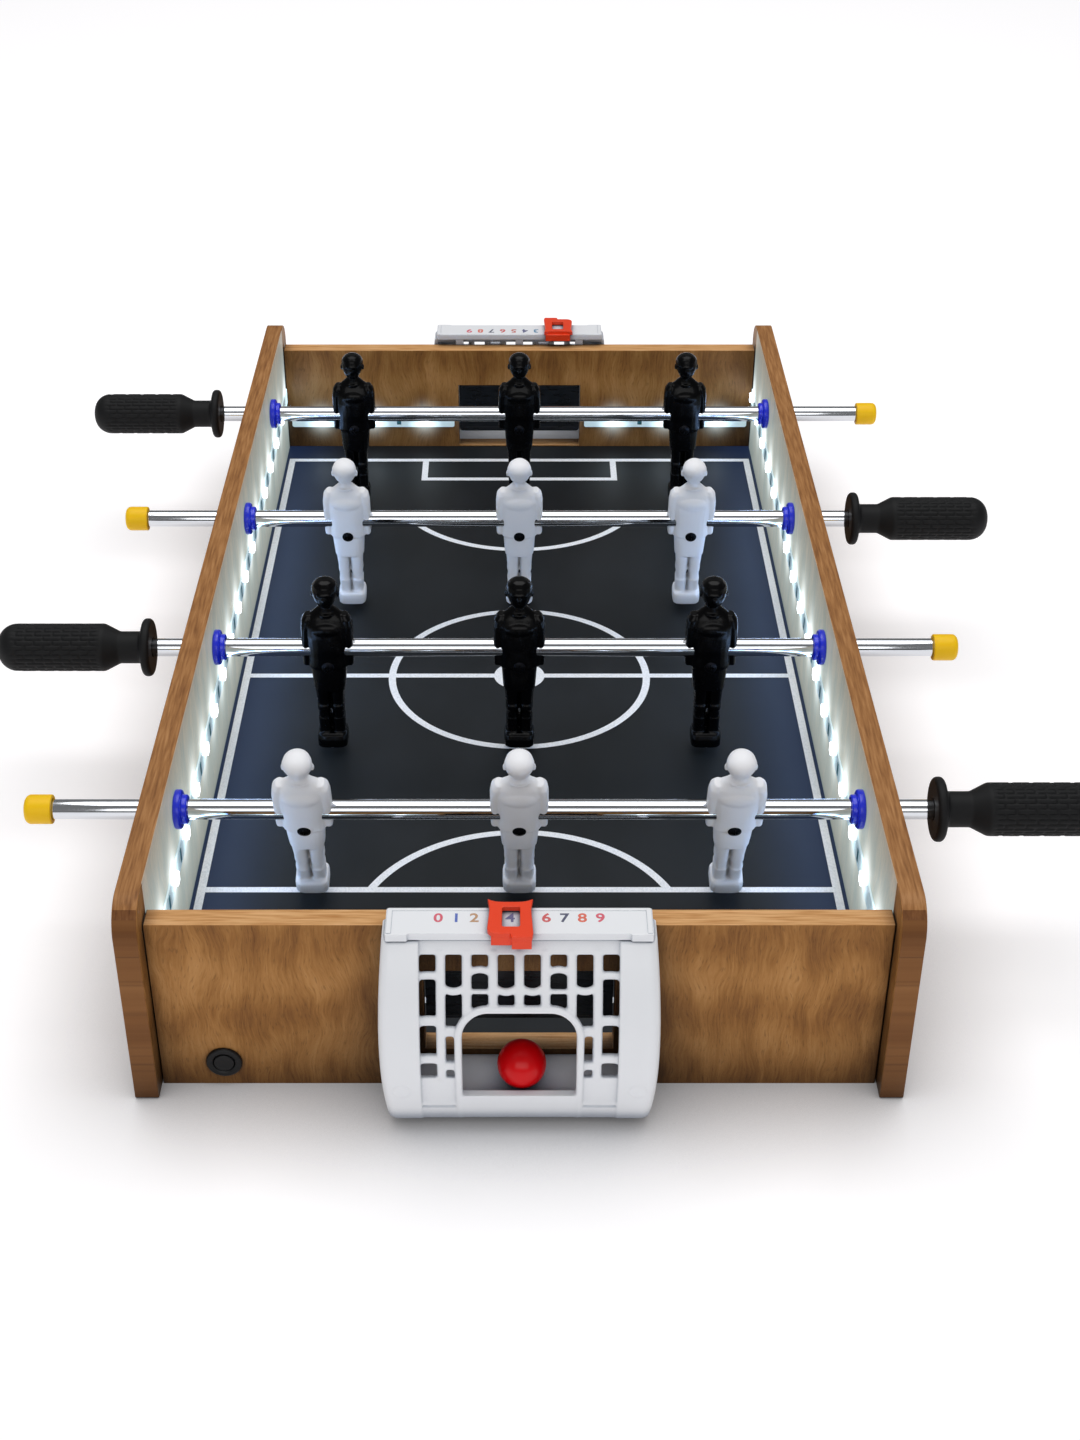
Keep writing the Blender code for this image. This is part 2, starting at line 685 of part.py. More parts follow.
def flap_mesh():
    """Goal flap around its hinge axis: a plate with its lower corners cut off."""
    half = GOAL_WIDTH / 2 - FLAP_SIDE_ROOM
    thick = FLAP_THICKNESS / 2
    bottom = -FLAP_LENGTH + FLAP_AXIS_BELOW_TOP
    outline = [
        (-half + FLAP_CORNER, bottom),
        (half - FLAP_CORNER, bottom),
        (half, bottom + FLAP_CORNER),
        (half, FLAP_AXIS_BELOW_TOP),
        (-half, FLAP_AXIS_BELOW_TOP),
        (-half, bottom + FLAP_CORNER),
    ]
    return prism("goal_flap", outline, -thick, thick, across="Y")


def rail_mesh():
    """Score rail with a snap notch in each end of its front edge."""
    half = RAIL_WIDTH / 2
    front, back = -END_FACE - RAIL_FRONT, -END_FACE + RAIL_OVER_BOARD
    outline = filleted([
        (front, RAIL_BOTTOM, 0.0),
        (back, RAIL_BOTTOM, 0.0),
        (back, RAIL_TOP, RAIL_THICKNESS / 4),
        (front, RAIL_TOP, RAIL_THICKNESS / 4),
    ], 2)
    rail = prism("score_rail", outline, -half, half)
    notches = []
    for side in (-1, 1):
        middle = side * (half - 2 * RAIL_NOTCH)
        low = (middle - RAIL_NOTCH / 2, front - RAIL_NOTCH, RAIL_BOTTOM - RAIL_NOTCH)
        high = (middle + RAIL_NOTCH / 2, front + RAIL_NOTCH / 2, RAIL_BOTTOM + RAIL_NOTCH / 3)
        notches.append(block("notch", low, high))
    return carve(rail, joined("notches", notches))


def slider_mesh():
    """Score slider: a saddle over the rail with a window and a finger tab in front."""
    half = SLIDER_WIDTH / 2
    front = -END_FACE - RAIL_FRONT - GAP
    back = -END_FACE + RAIL_OVER_BOARD + GAP
    roof = RAIL_TOP + GAP
    outline = [
        (front - SLIDER_WALL, RAIL_BOTTOM),
        (front, RAIL_BOTTOM),
        (front, roof),
        (back, roof),
        (back, RAIL_BOTTOM),
        (back + SLIDER_WALL, RAIL_BOTTOM),
        (back + SLIDER_WALL, roof + SLIDER_PLATE),
        (front - SLIDER_WALL, roof + SLIDER_PLATE),
    ]
    saddle = prism("score_slider", outline, -half, half)
    tab = block(
        "tab",
        (0.0, front - SLIDER_WALL - SLIDER_TAB, RAIL_BOTTOM),
        (half, front - SLIDER_WALL / 2, roof + SLIDER_PLATE / 2),
    )
    middle = (front + back) / 2
    window = block(
        "window",
        (-SLIDER_WINDOW_WIDTH / 2, middle - SLIDER_WINDOW_DEPTH / 2, RAIL_TOP),
        (SLIDER_WINDOW_WIDTH / 2, middle + SLIDER_WINDOW_DEPTH / 2, roof + 2 * SLIDER_PLATE),
    )
    return carve(carve(saddle, tab, "UNION"), window)


def ball_mesh():
    bm = bmesh.new()
    bmesh.ops.create_icosphere(bm, subdivisions=3, radius=BALL_DIAMETER / 2)
    return to_mesh(bm, "ball")


def build_ends(white_plastic, smoked, orange, red):
    """Goal catches and score counters; the far end is the near end turned half round."""
    catch = catch_mesh()
    rail = rail_mesh()
    slider = slider_mesh()
    flap = flap_mesh()
    for end, turn, score in (("near", 0.0, NEAR_SCORE), ("far", math.pi, FAR_SCORE)):
        frame = empty(f"{end}_end", (0.0, 0.0, 0.0), turn=(0.0, 0.0, turn))
        add_part(f"goal_catch_{end}", catch, white_plastic, frame)
        add_part(f"score_rail_{end}", rail, white_plastic, frame)
        place = (score - 4.5) * DIGIT_PITCH
        add_part(f"score_slider_{end}", slider, orange, frame, (place, 0.0, 0.0))
        add_part(f"goal_flap_{end}", flap, smoked, frame, (0.0, *flap_axis()))
    radius = BALL_DIAMETER / 2
    height = CATCH_FLOOR + GAP + radius
    room = bow(height, *CATCH_DEPTHS) - NET_RECESS - CATCH_WALL
    depth = room - BALL_FROM_NET - radius
    add_part("ball", ball_mesh(), red, location=(BALL_OFFSET, -END_FACE - depth, height))


def strip_mesh(name, length):
    """Light strip lying along X on a wall behind it at y = 0."""
    low = (-length / 2, -GAP - STRIP_THICKNESS, -STRIP_WIDTH / 2)
    high = (length / 2, -GAP, STRIP_WIDTH / 2)
    return block(name, low, high)


def build_light_strips(strip_white):
    side = strip_mesh("side_strip", 2 * (INNER_HALF_LENGTH - STRIP_END_ROOM))
    quarter = math.radians(90)
    right = (INNER_HALF_WIDTH, 0.0, SIDE_STRIP_HEIGHT)
    left = (-INNER_HALF_WIDTH, 0.0, SIDE_STRIP_HEIGHT)
    add_part("led_strip_right", side, strip_white, location=right, turn=(0.0, 0.0, -quarter))
    add_part("led_strip_left", side, strip_white, location=left, turn=(0.0, 0.0, quarter))
    inner = GOAL_WIDTH / 2 + STRIP_END_ROOM
    outer = INNER_HALF_WIDTH - STRIP_END_ROOM
    short = strip_mesh("end_strip", outer - inner)
    for end, y, turn in (("near", -INNER_HALF_LENGTH, math.pi), ("far", INNER_HALF_LENGTH, 0.0)):
        for side_name, side_sign in (("left", -1), ("right", 1)):
            place = (side_sign * (inner + outer) / 2, y, END_STRIP_HEIGHT)
            name = f"led_strip_{end}_{side_name}"
            add_part(name, short, strip_white, location=place, turn=(0.0, 0.0, turn))


def build_switch(black_plastic):
    """Push switch in the near end board; x of the turned shapes runs outwards, to -Y."""
    bore = BUTTON_DIAMETER / 2 + GAP
    barrel = SWITCH_BARREL_DIAMETER / 2
    bezel = SWITCH_BEZEL_DIAMETER / 2
    floor = -SWITCH_BARREL_LENGTH + SWITCH_BEZEL_THICKNESS
    body_profile = [
        (-SWITCH_BARREL_LENGTH, 0.0),
        (-SWITCH_BARREL_LENGTH, barrel),
        (GAP, barrel),
        (GAP, bezel),
        (GAP + SWITCH_BEZEL_THICKNESS * 0.6, bezel),
        (GAP + SWITCH_BEZEL_THICKNESS, bezel - SWITCH_BEZEL_THICKNESS * 0.6),
        (GAP + SWITCH_BEZEL_THICKNESS, bore),
        (floor, bore),
        (floor, 0.0),
    ]
    button_end = GAP + SWITCH_BEZEL_THICKNESS + BUTTON_PROUD
    radius = BUTTON_DIAMETER / 2
    button_profile = [
        (floor + BUTTON_TRAVEL + GAP, 0.0),
        (floor + BUTTON_TRAVEL + GAP, radius),
        (button_end - BUTTON_PROUD / 3, radius),
        (button_end, radius - BUTTON_PROUD / 3),
        (button_end, 0.0),
    ]
    place = (switch_x(), -END_FACE, SWITCH_HEIGHT)
    turn = (0.0, 0.0, math.radians(-90))
    body = turned("led_switch_body", body_profile, TURNED_FACETS)
    button = turned("led_switch_button", button_profile, TURNED_FACETS)
    add_part("led_switch_body", body, black_plastic, location=place, turn=turn)
    add_part("led_switch_button", button, black_plastic, location=place, turn=turn)


def build_battery_box(black_plastic, steel, wire_black):
    """Battery box under the field, open below, with its sliding cover, cells and wire."""
    roof = FIELD_TOP - FIELD_THICKNESS - GAP
    ceiling = roof - BOX_ROOF
    cell_pitch = CELL_DIAMETER + CELL_ROOM
    half_x = CELL_LENGTH / 2 + CELL_ROOM
    half_y = CELL_COUNT * cell_pitch / 2
    floor = ceiling - CELL_DIAMETER - 2 * CELL_ROOM
    centre = Vector((-BOX_FROM_CENTRE, -INNER_HALF_LENGTH + BOX_FROM_NEAR_BOARD, 0.0))
    centre.y += half_y + BOX_WALL
    outer = block(
        "battery_box",
        (-half_x - BOX_WALL, -half_y - BOX_WALL, floor),
        (half_x + BOX_WALL, half_y + BOX_WALL, roof),
    )
    inner = block("room", (-half_x, -half_y, floor - BOX_WALL), (half_x, half_y, ceiling))
    add_part("battery_box", carve(outer, inner), black_plastic, location=centre)
    cover = block(
        "battery_cover",
        (-half_x - BOX_WALL, -half_y - BOX_WALL, floor - GAP - COVER_THICKNESS),
        (half_x + BOX_WALL, half_y + BOX_WALL, floor - GAP),
    )
    add_part("battery_cover", cover, black_plastic, location=centre)
    radius = CELL_DIAMETER / 2
    profile = [
        (-CELL_LENGTH / 2, 0.0),
        (-CELL_LENGTH / 2, radius),
        (CELL_LENGTH / 2 - 1 * MM, radius),
        (CELL_LENGTH / 2 - 1 * MM, radius * 0.35),
        (CELL_LENGTH / 2, radius * 0.35),
        (CELL_LENGTH / 2, 0.0),
    ]
    cell = turned("battery_cell", profile, TURNED_FACETS)
    for index in range(CELL_COUNT):
        offset = Vector((0.0, (index - (CELL_COUNT - 1) / 2) * cell_pitch, floor + CELL_ROOM + radius))
        turn = (0.0, 0.0, math.pi * (index % 2))
        add_part(f"battery_cell_{index + 1}", cell, steel, location=centre + offset, turn=turn)
    build_wire(wire_black, centre, half_x + BOX_WALL, (roof + floor) / 2)


def build_wire(wire_black, centre, box_half, height):
    """Wire from the battery box's side wall to the back of the switch."""
    start = Vector((centre.x - box_half - GAP, centre.y, height))
    end = Vector((switch_x(), -END_FACE + SWITCH_BARREL_LENGTH + GAP, SWITCH_HEIGHT))
    steps = 16
    pull = (end - start).length / 2
    handles = (start, start + Vector((-pull, 0.0, 0.0)), end + Vector((0.0, pull, 0.0)), end)
    curve = bpy.data.curves.new("led_wire", "CURVE")
    curve.dimensions = "3D"
    curve.bevel_depth = WIRE_DIAMETER / 2
    curve.bevel_resolution = 2
    curve.use_fill_caps = True
    spline = curve.splines.new("POLY")
    spline.points.add(steps)
    for step, point in enumerate(spline.points):
        t = step / steps
        weights = ((1 - t) ** 3, 3 * t * (1 - t) ** 2, 3 * t * t * (1 - t), t ** 3)
        place = sum((handle * weight for handle, weight in zip(handles, weights)), Vector())
        point.co = (*place, 1.0)
    curve.materials.append(wire_black)
    wire = bpy.data.objects.new("led_wire", curve)
    bpy.context.collection.objects.link(wire)


def main():
    clear_scene()
    oak = finish("oak_laminate", (0.28, 0.15, 0.06), 0.5)
    pine = finish("pine", (0.55, 0.38, 0.2), 0.6)
    black_laminate = finish("black_laminate", (0.03, 0.035, 0.04), 0.5)
    blue = finish("blue_plastic", (0.01, 0.03, 0.6), 0.35)
    chrome = finish("chrome", (0.8, 0.8, 0.82), 0.1, 1.0)
    rubber = finish("black_rubber", (0.012, 0.013, 0.014), 0.6)
    yellow = finish("yellow_plastic", (0.9, 0.55, 0.01), 0.4)
    black = finish("black_player_plastic", (0.01, 0.01, 0.01), 0.25)
    white = finish("white_player_plastic", (0.8, 0.8, 0.82), 0.45)
    white_plastic = finish("white_plastic", (0.7, 0.72, 0.77), 0.4)
    smoked = finish("smoked_plastic", (0.03, 0.032, 0.035), 0.25)
    orange = finish("orange_plastic", (0.85, 0.09, 0.02), 0.35)
    red = finish("red_ball", (0.6, 0.0, 0.01), 0.25)
    strip_white = finish("light_strip", (0.85, 0.9, 0.95), 0.4)
    black_plastic = finish("black_plastic", (0.02, 0.02, 0.02), 0.4)
    steel = finish("cell_steel", (0.5, 0.5, 0.52), 0.3, 1.0)
    wire_black = finish("wire_sheath", (0.02, 0.02, 0.02), 0.5)
    build_cabinet(oak, pine, black_laminate)
    build_rows(blue, chrome, rubber, yellow, black, white)
    build_ends(white_plastic, smoked, orange, red)
    build_light_strips(strip_white)
    build_switch(black_plastic)
    build_battery_box(black_plastic, steel, wire_black)


main()
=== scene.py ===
import math

import bmesh
import bpy
from mathutils import Matrix, Vector


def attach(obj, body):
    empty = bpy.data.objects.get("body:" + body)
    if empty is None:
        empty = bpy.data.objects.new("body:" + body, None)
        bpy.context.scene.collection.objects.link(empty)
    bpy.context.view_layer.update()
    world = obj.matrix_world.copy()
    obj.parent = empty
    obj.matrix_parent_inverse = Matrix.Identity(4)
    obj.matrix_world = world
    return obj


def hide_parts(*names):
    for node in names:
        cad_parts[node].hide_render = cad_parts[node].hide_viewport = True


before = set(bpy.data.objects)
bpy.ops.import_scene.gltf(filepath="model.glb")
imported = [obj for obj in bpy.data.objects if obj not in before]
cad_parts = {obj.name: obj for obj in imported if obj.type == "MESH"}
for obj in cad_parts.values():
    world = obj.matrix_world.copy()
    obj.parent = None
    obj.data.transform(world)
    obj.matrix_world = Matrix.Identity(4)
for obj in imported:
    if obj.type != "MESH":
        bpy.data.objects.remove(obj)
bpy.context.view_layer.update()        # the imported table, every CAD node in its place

MM = 0.001


# ---- Studio ---------------------------------------------------------------------------
# The table stands on a seamless white sweep under one large overhead softbox, with a
# weaker one in front. The paper glows a little, so it fades to pure white at the back.

def linear(colour):
    """Linear RGBA of an sRGB hex colour."""
    parts = [int(colour[place:place + 2], 16) / 255 for place in (1, 3, 5)]
    return (*[p / 12.92 if p <= 0.04045 else ((p + 0.055) / 1.055) ** 2.4 for p in parts], 1.0)


def feed(target, inputs):
    """Give inputs of a node their values, or link them to outputs of other nodes."""
    for key, value in inputs.items():
        if isinstance(value, bpy.types.NodeSocket):
            target.id_data.links.new(value, target.inputs[key])
        else:
            target.inputs[key].default_value = value


def add(material, kind, inputs, stops=(), **settings):
    """Add one shader node with its settings, links and, on a colour ramp, its stops."""
    made = material.node_tree.nodes.new("ShaderNode" + kind)
    for key, value in settings.items():
        setattr(made, key, value)
    for index, (position, colour) in enumerate(stops):
        if index >= len(made.color_ramp.elements):
            made.color_ramp.elements.new(position)
        made.color_ramp.elements[index].position = position
        made.color_ramp.elements[index].color = linear(colour)
    feed(made, inputs)
    return made


def new_material(name, colour, roughness, **more):
    """A Principled material; uniform values go straight on the shader's own sockets."""
    made = bpy.data.materials.new(name)
    made.use_nodes = True
    shader = made.node_tree.nodes["Principled BSDF"]
    feed(shader, {"Base Color": linear(colour), "Roughness": roughness})
    feed(shader, {key.replace("_", " "): value for key, value in more.items()})
    return made, shader


def bumped(material, height, strength, distance):
    """Normal of a surface with a fine relief."""
    relief = {"Height": height, "Strength": strength, "Distance": distance}
    return add(material, "Bump", relief).outputs[0]


def graded(material, value, low, high):
    """Value spread over another range, as for a roughness that varies."""
    return add(material, "MapRange", {"Value": value, "To Min": low, "To Max": high}).outputs[0]


def softbox(name, place, target, width, depth, watts, colour="#ffffff"):
    lamp = bpy.data.lights.new(name, "AREA")
    lamp.shape = "RECTANGLE"
    lamp.size = width
    lamp.size_y = depth
    lamp.energy = watts
    lamp.color = linear(colour)[:3]
    holder = bpy.data.objects.new(name, lamp)
    bpy.context.collection.objects.link(holder)
    holder.location = place
    holder.rotation_euler = (Vector(target) - Vector(place)).to_track_quat("-Z", "Y").to_euler()
    return holder


SWEEP_HALF_WIDTH = 6.0
SWEEP_FRONT = -3.0
SWEEP_BACK = 5.0

sweep_mesh = bpy.data.meshes.new("studio_sweep")
sweep_mesh.from_pydata(
    [
        (-SWEEP_HALF_WIDTH, SWEEP_FRONT, 0.0),
        (SWEEP_HALF_WIDTH, SWEEP_FRONT, 0.0),
        (SWEEP_HALF_WIDTH, SWEEP_BACK, 0.0),
        (-SWEEP_HALF_WIDTH, SWEEP_BACK, 0.0),
    ],
    [],
    [(0, 1, 2, 3)],
)
# Matt white paper lit from behind: it takes soft shadows from the lamps, has contact shade painted darker by
# ambient occlusion, and has no sheen of its own.
paper, paper_shader = new_material("white_paper", "#e9e9eb", 0.95)
distance = add(paper, "SeparateXYZ", {0: add(paper, "TexCoord", {}).outputs["Object"]})
backlight = add(
    paper, "MapRange",
    {"Value": distance.outputs["Y"], "From Min": -0.2, "From Max": 2.6, "To Min": 0.32, "To Max": 0.66},
)
# Painted shade: ambient occlusion darkens the paper's colour and dims its glow close to the table.
paper_contact_shade = add(paper, "AmbientOcclusion", {"Distance": 0.07}, samples=8)
shaded_paper_glow = add(paper, "Math", {0: paper_contact_shade.outputs["AO"], 1: backlight.outputs[0]}, operation="MULTIPLY")
paper_shade = add(
    paper, "Mix", {0: paper_contact_shade.outputs["AO"], 6: linear("#7d7d80"), 7: linear("#ececee")}, data_type="RGBA",
)
feed(paper_shader, {
    "Base Color": paper_shade.outputs[2],
    "Emission Color": linear("#fffdfe"),
    "Emission Strength": shaded_paper_glow.outputs[0],
})
fibres = add(paper, "TexNoise", {"Scale": 900.0, "Detail": 2.0})
feed(paper_shader, {"Normal": add(paper, "Bump", {"Height": fibres.outputs[0], "Strength": 0.02}).outputs[0]})
sweep_mesh.materials.append(paper)
sweep = bpy.data.objects.new("studio_sweep", sweep_mesh)
bpy.context.collection.objects.link(sweep)

softbox("overhead_softbox", (0.0, 0.25, 1.9), (0.0, 0.0, 0.0), 2.0, 1.8, 29.0)
softbox("front_softbox", (0.0, -2.1, 1.1), (0.0, 0.0, 0.05), 2.2, 1.0, 13.0)

sky = bpy.data.worlds.new("studio_white")
sky.use_nodes = True
feed(sky.node_tree.nodes["Background"], {"Color": linear("#ffffff"), "Strength": 0.2})
bpy.context.scene.world = sky
bpy.context.scene.view_settings.view_transform = "Standard"

CAMERA_PLACE = (0.0, -0.91116, 0.59091)
CAMERA_PITCH = 33.83                 # degrees below the horizon
LENS = 50.14
SHIFT_X = 0.01437
SHIFT_Y = 0.01087

lens = bpy.data.cameras.new("camera")
lens.lens = LENS
lens.sensor_width = 36.0
lens.sensor_fit = "AUTO"
lens.shift_x = SHIFT_X
lens.shift_y = SHIFT_Y
lens.clip_start = 0.01
camera = bpy.data.objects.new("camera", lens)
bpy.context.collection.objects.link(camera)
camera.location = CAMERA_PLACE
camera.rotation_euler = (math.radians(90.0 - CAMERA_PITCH), 0.0, 0.0)
bpy.context.scene.camera = camera


# ---- Cabinet boards -------------------------------------------------------------------
# Four fibreboards 10 mm thick with a printed oak laminate. The wood's figure stands
# upright on the faces, and a lighter edge band runs along every top.

def finished(bm, name, sharp=35.0):
    """Mesh with its faces out, smooth where it is round."""
    bmesh.ops.recalc_face_normals(bm, faces=bm.faces)
    mesh = bpy.data.meshes.new(name)
    bm.to_mesh(mesh)
    bm.free()
    mesh.shade_smooth()
    mesh.set_sharp_from_angle(angle=math.radians(sharp))
    return mesh


def rounded(corners, steps=6):
    """Outline with an arc at each (a, b, radius) corner."""
    outline = []
    for index, (a, b, radius) in enumerate(corners):
        here = Vector((a, b))
        if radius <= 0.0:
            outline.append((a, b))
            continue
        back = (Vector(corners[index - 1][:2]) - here).normalized()
        on = (Vector(corners[(index + 1) % len(corners)][:2]) - here).normalized()
        half = back.angle(on) / 2
        centre = here + (back + on).normalized() * radius / math.sin(half)
        start = here + back * radius / math.tan(half) - centre
        end = here + on * radius / math.tan(half) - centre
        for step in range(steps + 1):
            spoke = start.lerp(end, step / steps).normalized() * radius
            outline.append(tuple(centre + spoke))
    return outline


def rectangle(low_a, low_b, high_a, high_b):
    """Corners of a rectangle, as (a, b) pairs."""
    return [(low_a, low_b), (high_a, low_b), (high_a, high_b), (low_a, high_b)]


def prism(name, outline, low, high, across="X", sharp=35.0):
    """Solid of an outline, drawn in the two axes other than the one it runs across."""
    spots = {
        "X": lambda a, b, c: (c, a, b),
        "Y": lambda a, b, c: (a, c, b),
        "Z": lambda a, b, c: (a, b, c),
    }
    bm = bmesh.new()
    ends = [[bm.verts.new(spots[across](a, b, c)) for a, b in outline] for c in (low, high)]
    for ring in ends:
        bm.faces.new(ring)
    for index in range(len(outline)):
        after = (index + 1) % len(outline)
        bm.faces.new((ends[0][index], ends[0][after], ends[1][after], ends[1][index]))
    return finished(bm, name, sharp)


def lathe(name, profile, facets, closed=False, swell=None, sharp=35.0):
    """Turn (x, radius) points around X; swell(x, angle) adds to the radius."""
    bm = bmesh.new()
    rings = []
    for x, radius in profile:
        count = facets if radius > 0.0 else 1
        ring = []
        for index in range(count):
            angle = 2 * math.pi * index / count
            reach = radius + (swell(x, angle) if swell and radius > 0.0 else 0.0)
            ring.append(bm.verts.new((x, reach * math.cos(angle), reach * math.sin(angle))))
        rings.append(ring)
    following = rings[1:] + (rings[:1] if closed else [])
    for ring, after in zip(rings, following):
        for index in range(facets):
            corners = [ring[index % len(ring)], ring[(index + 1) % len(ring)]]
            corners += [after[(index + 1) % len(after)], after[index % len(after)]]
            bm.faces.new(list(dict.fromkeys(corners)))
    return finished(bm, name, sharp)


def carve(mesh, cutter, how="DIFFERENCE", sharp=35.0):
    """Mesh cut by, joined to or shared with another one."""
    body = bpy.data.objects.new("body", mesh)
    tool = bpy.data.objects.new("tool", cutter)
    for item in (body, tool):
        bpy.context.collection.objects.link(item)
    cut = body.modifiers.new("cut", "BOOLEAN")
    cut.operation = how
    cut.object = tool
    cut.solver = "EXACT"
    evaluated = body.evaluated_get(bpy.context.evaluated_depsgraph_get())
    made = bpy.data.meshes.new_from_object(evaluated)
    made.name = mesh.name
    for item in (body, tool):
        bpy.data.objects.remove(item)
    made.shade_smooth()
    made.set_sharp_from_angle(angle=math.radians(sharp))
    return made


def moved(mesh, offset=(0.0, 0.0, 0.0), turn=0.0, about="Z"):
    copy = mesh.copy()
    copy.transform(Matrix.Translation(offset) @ Matrix.Rotation(turn, 4, about))
    return copy


def joined(name, meshes, sharp=35.0):
    """One mesh of several, which stay separate bodies in it."""
    bm = bmesh.new()
    for mesh in meshes:
        bm.from_mesh(mesh)
    made = bpy.data.meshes.new(name)
    bm.to_mesh(made)
    bm.free()
    made.shade_smooth()
    made.set_sharp_from_angle(angle=math.radians(sharp))
    return made


def show(name, mesh, materials, body, stands_for=(), place=(0.0, 0.0, 0.0), turn=(0.0, 0.0, 0.0)):
    """Put a piece in its place, on its body, instead of the CAD nodes that it stands for."""
    piece = bpy.data.objects.new(name, mesh)
    bpy.context.collection.objects.link(piece)
    piece.location = place
    piece.rotation_euler = turn
    if not mesh.materials:
        for material in materials:
            mesh.materials.append(material)
    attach(piece, body)
    if stands_for:
        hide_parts(*stands_for)
    return piece


def ease(piece, width, segments=2, angle=40.0):
    """Round the piece's sharp edges."""
    bevel = piece.modifiers.new("eased_edges", "BEVEL")
    bevel.width = width
    bevel.segments = segments
    bevel.limit_method = "ANGLE"
    bevel.angle_limit = math.radians(angle)
    bevel.harden_normals = True
    return piece


LIGHT_HEIGHT = 56 * MM               # middle of the side light strips
END_LIGHT_HEIGHT = 38 * MM
CHIP_PITCH = 33.3 * MM               # thirty chips to the metre
CHIP_START = 9 * MM                  # a side strip's chip nearest the middle
END_STRIP_PLACE = 94.5 * MM          # middle of an end strip from the middle of its board
END_INNER = 282 * MM
SIDE_IN = 150 * MM


def stretched(material, along, up, pitch, length, **settings):
    """Noise whose grains are one pitch wide and stand upright, one length tall."""
    place = add(
        material, "CombineXYZ",
        {
            "X": add(material, "Math", {0: along, 1: 1 / pitch}, operation="MULTIPLY").outputs[0],
            "Y": add(material, "Math", {0: up, 1: 1 / length}, operation="MULTIPLY").outputs[0],
        },
    )
    return add(material, "TexNoise", {"Vector": place.outputs[0], "Scale": 1.0, **settings}).outputs[0]


